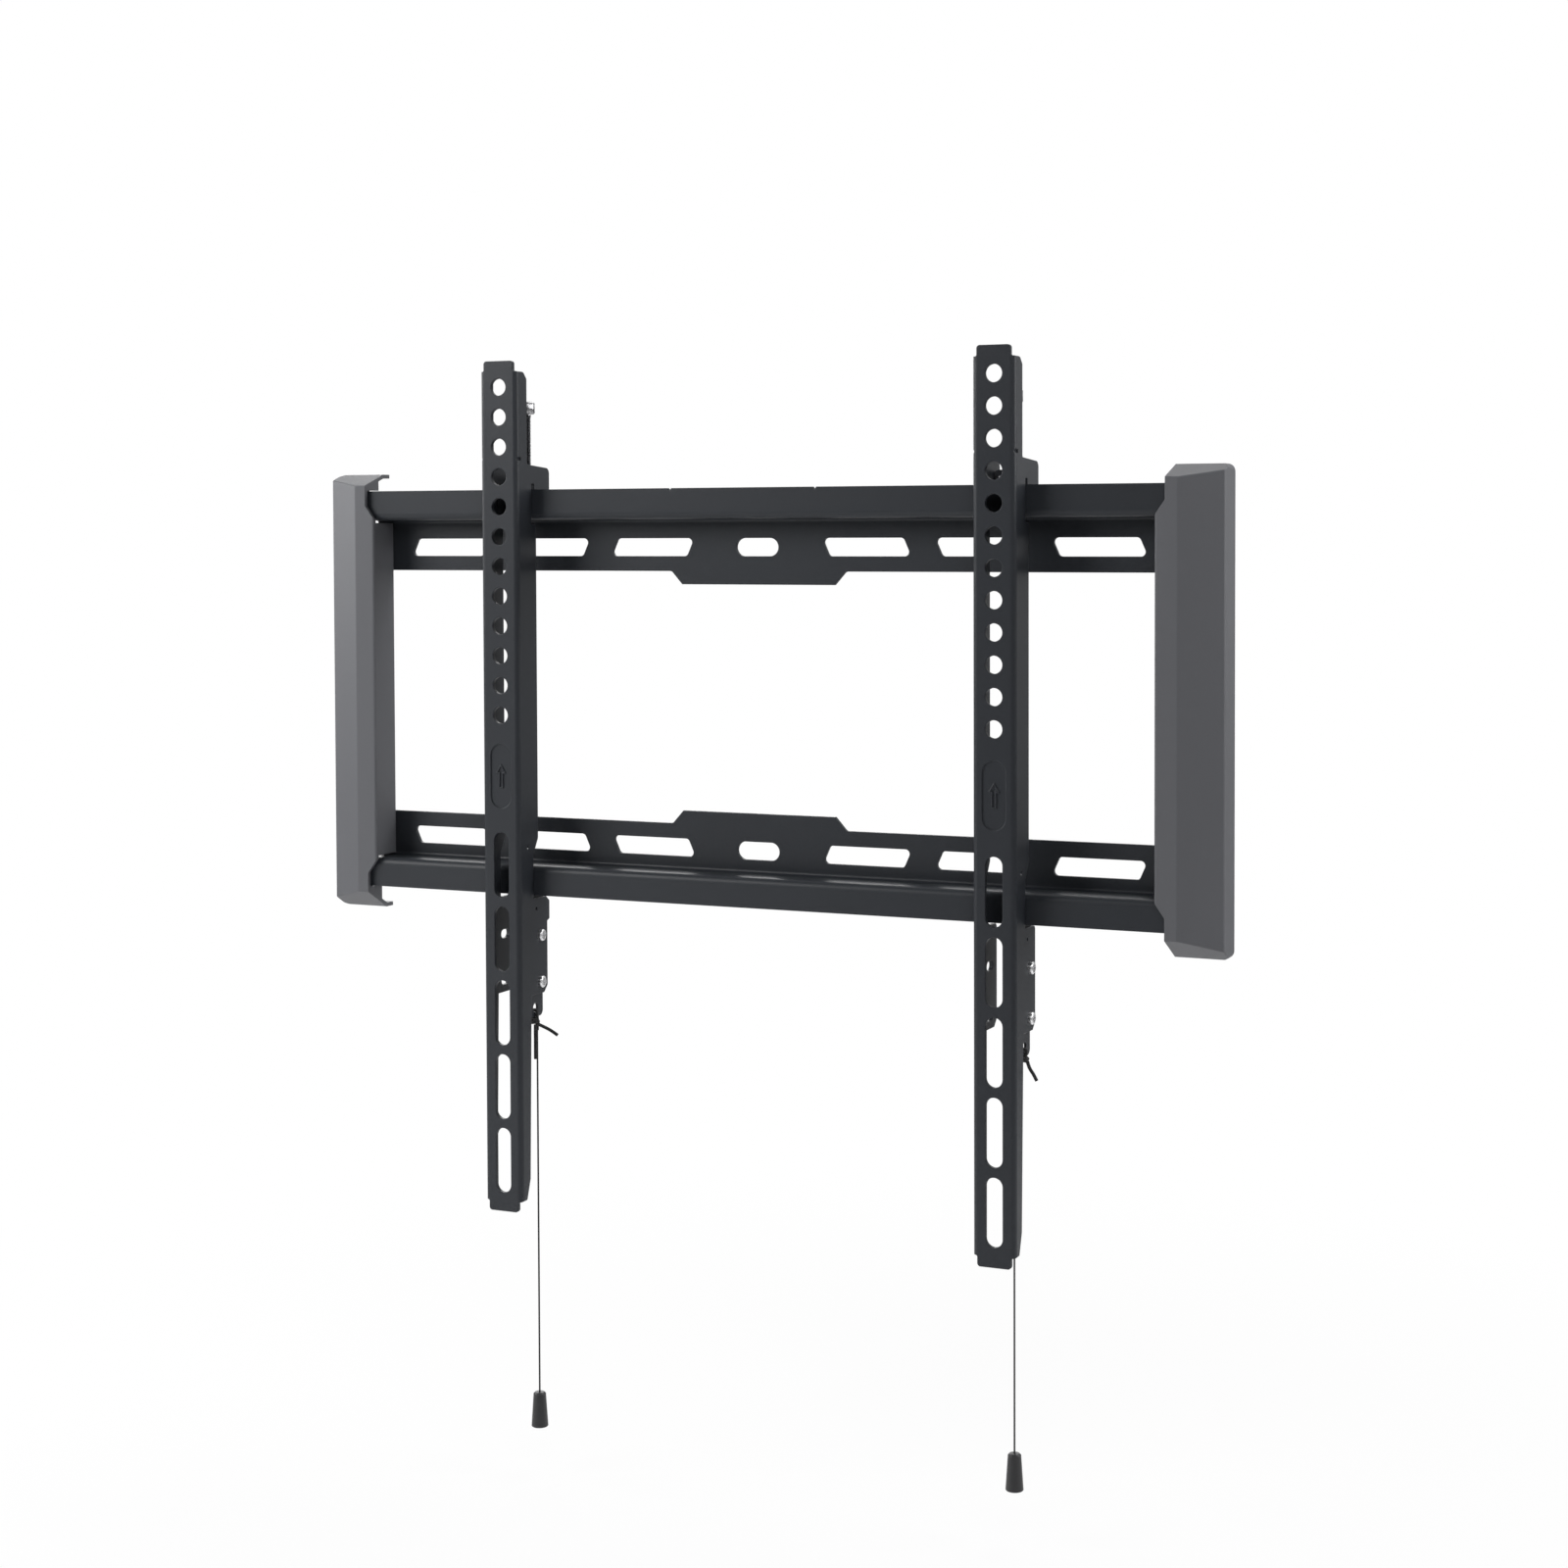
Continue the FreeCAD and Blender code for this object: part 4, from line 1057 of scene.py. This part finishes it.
    def build_stop_knot(self) -> bpy.types.Object:
        """Trefoil (sin t + 2 sin 2t, cos t - 2 cos 2t, -sin 3t) under the bell's roof, drawn small.

        Returns:
            The stop knot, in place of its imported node.
        """
        angle = np.linspace(0, TURN, self.stop_steps, endpoint=False)
        shape = np.stack([np.sin(angle) + 2 * np.sin(2 * angle), np.cos(angle) - 2 * np.cos(2 * angle),
                          -np.sin(3 * angle)], axis=1) / 3
        centre = np.array([self.cord_x + self.shift, -self.depth, self.cord_end - self.stop_drop])
        path = (centre + shape * np.array(self.stop_size)) * MM
        along = np.roll(path, -1, axis=0) - np.roll(path, 1, axis=0)
        along /= np.linalg.norm(along, axis=1, keepdims=True)
        outward = path - centre * MM
        outward -= along * np.sum(outward * along, axis=1)[:, None]
        outward /= np.linalg.norm(outward, axis=1, keepdims=True)
        points = ring_points(path, self.cord_radius * MM, outward, np.cross(along, outward), self.stop_sides)
        points = np.concatenate([points, points[:1]])
        length = np.arange(len(points)) * self.stop_step_length * MM
        piece = self.braided("stop_knot_tied", (points, ring_uv(length, self.stop_sides)), caps=False)
        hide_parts(f"{self.side}_stop_knot")
        return piece

    def build_cord(self) -> bpy.types.Object:
        """Hanging cord along its spline, drawn straight by the bell's weight and shifted a little aside.


        Returns:
            The cord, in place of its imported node.
        """
        near, far, y = self.cord_x, self.cord_x + self.shift, -self.depth
        upper, lower = self.bend_levels
        top = self.knot_level
        route = np.array([
            [near, y, top], [near, y, top - self.first_run], [near, y, top - upper],
            [far, y, top - lower], [far, y, top - self.last_run], [far, y, self.cord_end]])
        path = spline_points("cord_route", route * MM, 16)
        grid = tube(path, self.cord_radius * MM, self.sides, self.cord_beside)
        piece = self.braided("pull_cord_braided", grid)
        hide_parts(f"{self.side}_pull_cord")
        2 * self.cord_radius * MM
        return piece

    def build(self) -> list[bpy.types.Object]:
        """All pieces of the cord.

        Returns:
            The pieces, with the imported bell.
        """
        bell = packed(f"{self.side}_pull_bell")[0]
        BELL.dress(bell)
        pieces = [bell, self.build_knot(), self.build_stop_knot()]
        if self.second_tail:
            pieces.append(self.build_second_tail())
        return pieces + [self.build_cord()]


@dataclass
class ScreenArm:
    """One hook-on arm with its latch, level screw, spring and pull cord. Lengths in millimetres."""

    side: str
    centre: float
    strand: Strand
    tail: Point
    cord_length: float
    knot_rise: float
    cord_shift: float = 0.0
    second_tail: float = 0.0
    half_width: float = 10.65
    latch_face: float = 8.55
    cord_middle: float = 7.95
    spring_place: Pair = (4.6, -26.7)
    level_place: float = -6.2

    def build(self) -> list[bpy.types.Object]:
        """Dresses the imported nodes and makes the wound, threaded and tied pieces.

        Returns:
            All pieces of the arm.
        """
        steel = packed(f"{self.side}_arm", f"{self.side}_latch")
        zinc = packed(f"{self.side}_level_bridge", f"{self.side}_latch_screws", f"{self.side}_latch_nuts")
        for node in steel:
            STEEL.dress(node)
        for node in zinc:
            ZINC.dress(node)
        screw = LevelScrew(self.side, (self.centre, self.level_place)).build()
        spring = LatchSpring(self.side, (self.centre + self.spring_place[0], self.spring_place[1]),
                             self.centre + self.half_width, self.centre + self.latch_face).build()
        cord = PullCord(self.side, self.centre + self.cord_middle, self.strand, self.tail, self.cord_length,
                        self.knot_rise, self.cord_shift, self.second_tail)
        return steel + zinc + [screw, spring] + cord.build()


@dataclass(frozen=True)
class SoftBox:
    """Square lamp that faces the frame's centre, in metres and watts."""

    name: str
    place: Point
    size: float
    power: float

    def build(self) -> None:
        """Adds the lamp to the scene."""
        data = bpy.data.lights.new(self.name, "AREA")
        data.shape = "SQUARE"
        data.size = self.size
        data.energy = self.power
        lamp = bpy.data.objects.new(self.name, data)
        lamp.location = self.place
        lamp.rotation_euler = (-Vector(self.place)).to_track_quat("-Z", "Y").to_euler()
        bpy.context.scene.collection.objects.link(lamp)


@dataclass
class Studio:
    """Pale floor, soft boxes, white surround and the camera. Lengths in metres."""

    floor_level: float = -0.40
    floor_half: float = 6.0
    floor_colour: Colour = (0.86, 0.86, 0.86)
    floor_gloss: float = 0.04
    shadow_share: float = 0.14
    shadow_reach: Pair = (0.15, 0.75)
    ambient: float = 0.02
    front_gloss: float = 0.04
    back_gloss: float = 0.62
    gloss_turn: Pair = (-0.15, 0.35)
    eye: Point = (0.57515, -1.22475, 0.08447)
    yaw: float = math.radians(24.635)
    pitch: float = math.radians(2.063)
    roll: float = math.radians(-0.205)
    focal_pixels: float = 2785.5
    frame_pixels: float = 1600.0
    axis_row: float = 640.0
    sensor_width: float = 36.0
    near_clip: float = 0.05
    lamps: tuple[SoftBox, ...] = (
        SoftBox("key_soft_box", (-0.80, -0.78, 0.55), 0.7, 9.8),
        SoftBox("left_soft_box", (-1.20, -0.15, 0.30), 0.5, 4.4),
        SoftBox("low_soft_box", (-0.70, -0.80, -0.45), 0.6, 2.2),
        SoftBox("right_soft_box", (1.10, 0.20, 0.40), 0.6, 7.2),
        SoftBox("fill_soft_box", (0.90, -1.40, 0.95), 0.8, 8.8),
        SoftBox("top_soft_box", (0.30, 0.50, 1.20), 0.8, 6.5),
        SoftBox("back_soft_box", (-0.70, 1.10, 0.50), 0.8, 8.0))

    def floor_material(self) -> bpy.types.Material:
        """White to the camera away from the object, and partly a matt floor that takes its shadow below it.

        Returns:
            The material.
        """
        material = bpy.data.materials.new("floor_pale")
        material.use_nodes = True
        tree = ShaderTree(material.node_tree)
        seen, glossy, through = tree.ray_kinds()
        away = tree.node("ShaderNodeVectorMath", {"operation": "LENGTH"},
                         {0: tree.stretched(tree.coordinates(), (1, 1, 0))}, "Value")
        share = (seen + through) * tree.ramp(away, *self.shadow_reach, 1 - self.shadow_share, 1.0)
        share = share + glossy * self.floor_gloss
        matt = tree.node("ShaderNodeBsdfDiffuse", {}, {"Color": rgba(self.floor_colour)})
        white = tree.node("ShaderNodeEmission", {}, {"Color": WHITE, "Strength": 1.0})
        mixed = tree.node("ShaderNodeMixShader", {}, {0: share, 1: matt, 2: white})
        tree.node("ShaderNodeOutputMaterial", {}, {"Surface": mixed})
        return material

    def add_floor(self) -> None:
        """Square floor under the object."""
        side = np.array([-self.floor_half, self.floor_half])
        x, y = np.meshgrid(side, side, indexing="ij")
        points = np.stack([x, y, np.full_like(x, self.floor_level)], axis=-1)
        floor = grid_object("floor", points, np.stack([x, y], axis=-1), round_rows=False, caps=False)
        floor.data.materials.append(self.floor_material())

    def add_world(self) -> None:
        """Surround: white to the camera, and in gloss pale behind the object and dim in front of it."""
        world = bpy.data.worlds.new("studio")
        bpy.context.scene.world = world
        world.use_nodes = True
        tree = ShaderTree(world.node_tree)
        seen, glossy, through = tree.ray_kinds()
        way = tree.node("ShaderNodeSeparateXYZ", {}, {"Vector": tree.coordinates("Generated")}, "Y")
        behind = tree.ramp(way, *self.gloss_turn, self.front_gloss, self.back_gloss)
        rest = 1 - seen - glossy - through
        level = seen + through + glossy * behind + rest * self.ambient
        sky = tree.node("ShaderNodeBackground", {}, {"Color": WHITE, "Strength": level})
        tree.node("ShaderNodeOutputWorld", {}, {"Surface": sky})

    def add_camera(self) -> None:
        """Camera of the photograph: forward from yaw and pitch, turned by the roll, axis above the middle."""
        yaw, pitch, roll = self.yaw, self.pitch, self.roll
        forward = Vector((-math.sin(yaw) * math.cos(pitch), math.cos(yaw) * math.cos(pitch),
                          -math.sin(pitch)))
        level = Vector((math.cos(yaw), math.sin(yaw), 0))
        upright = level.cross(forward)
        right = level * math.cos(roll) + upright * math.sin(roll)
        up = upright * math.cos(roll) - level * math.sin(roll)
        data = bpy.data.cameras.new("camera")
        data.sensor_width = self.sensor_width
        data.lens = self.focal_pixels / self.frame_pixels * self.sensor_width
        data.shift_y = (self.axis_row - self.frame_pixels / 2) / self.frame_pixels
        data.clip_start = self.near_clip
        camera = bpy.data.objects.new("camera", data)
        turn = Matrix((right, up, -forward)).transposed().to_4x4()
        camera.matrix_world = Matrix.Translation(self.eye) @ turn
        bpy.context.scene.collection.objects.link(camera)
        bpy.context.scene.camera = camera

    def build(self) -> None:
        """Sets up the whole studio."""
        bpy.context.scene.view_settings.view_transform = "Standard"
        self.add_floor()
        self.add_world()
        for lamp in self.lamps:
            lamp.build()
        self.add_camera()


def report(pieces: Iterable[bpy.types.Object]) -> None:
    """Logs each piece with its face count."""
    for piece in pieces:
        LOG.info("%s: %d faces", piece.name, len(piece.data.polygons))


def main() -> None:
    """Builds the studio and every sub-assembly in order."""
    logging.basicConfig(level=logging.INFO, format="%(name)s %(message)s")
    Studio().build()
    report(WallFrame().build())
    report(ScreenArm("left", centre=-128.0, strand=Strand.OUTER, tail=(12.6, 1.4, -6.4), cord_length=189.2,
                     knot_rise=2.0, second_tail=17.5).build())
    report(ScreenArm("right", centre=136.4, strand=Strand.INNER, tail=(6.2, 1.2, -9.8), cord_length=185.2,
                     knot_rise=3.0, cord_shift=-3.0).build())


if __name__ == "__main__":
    main()
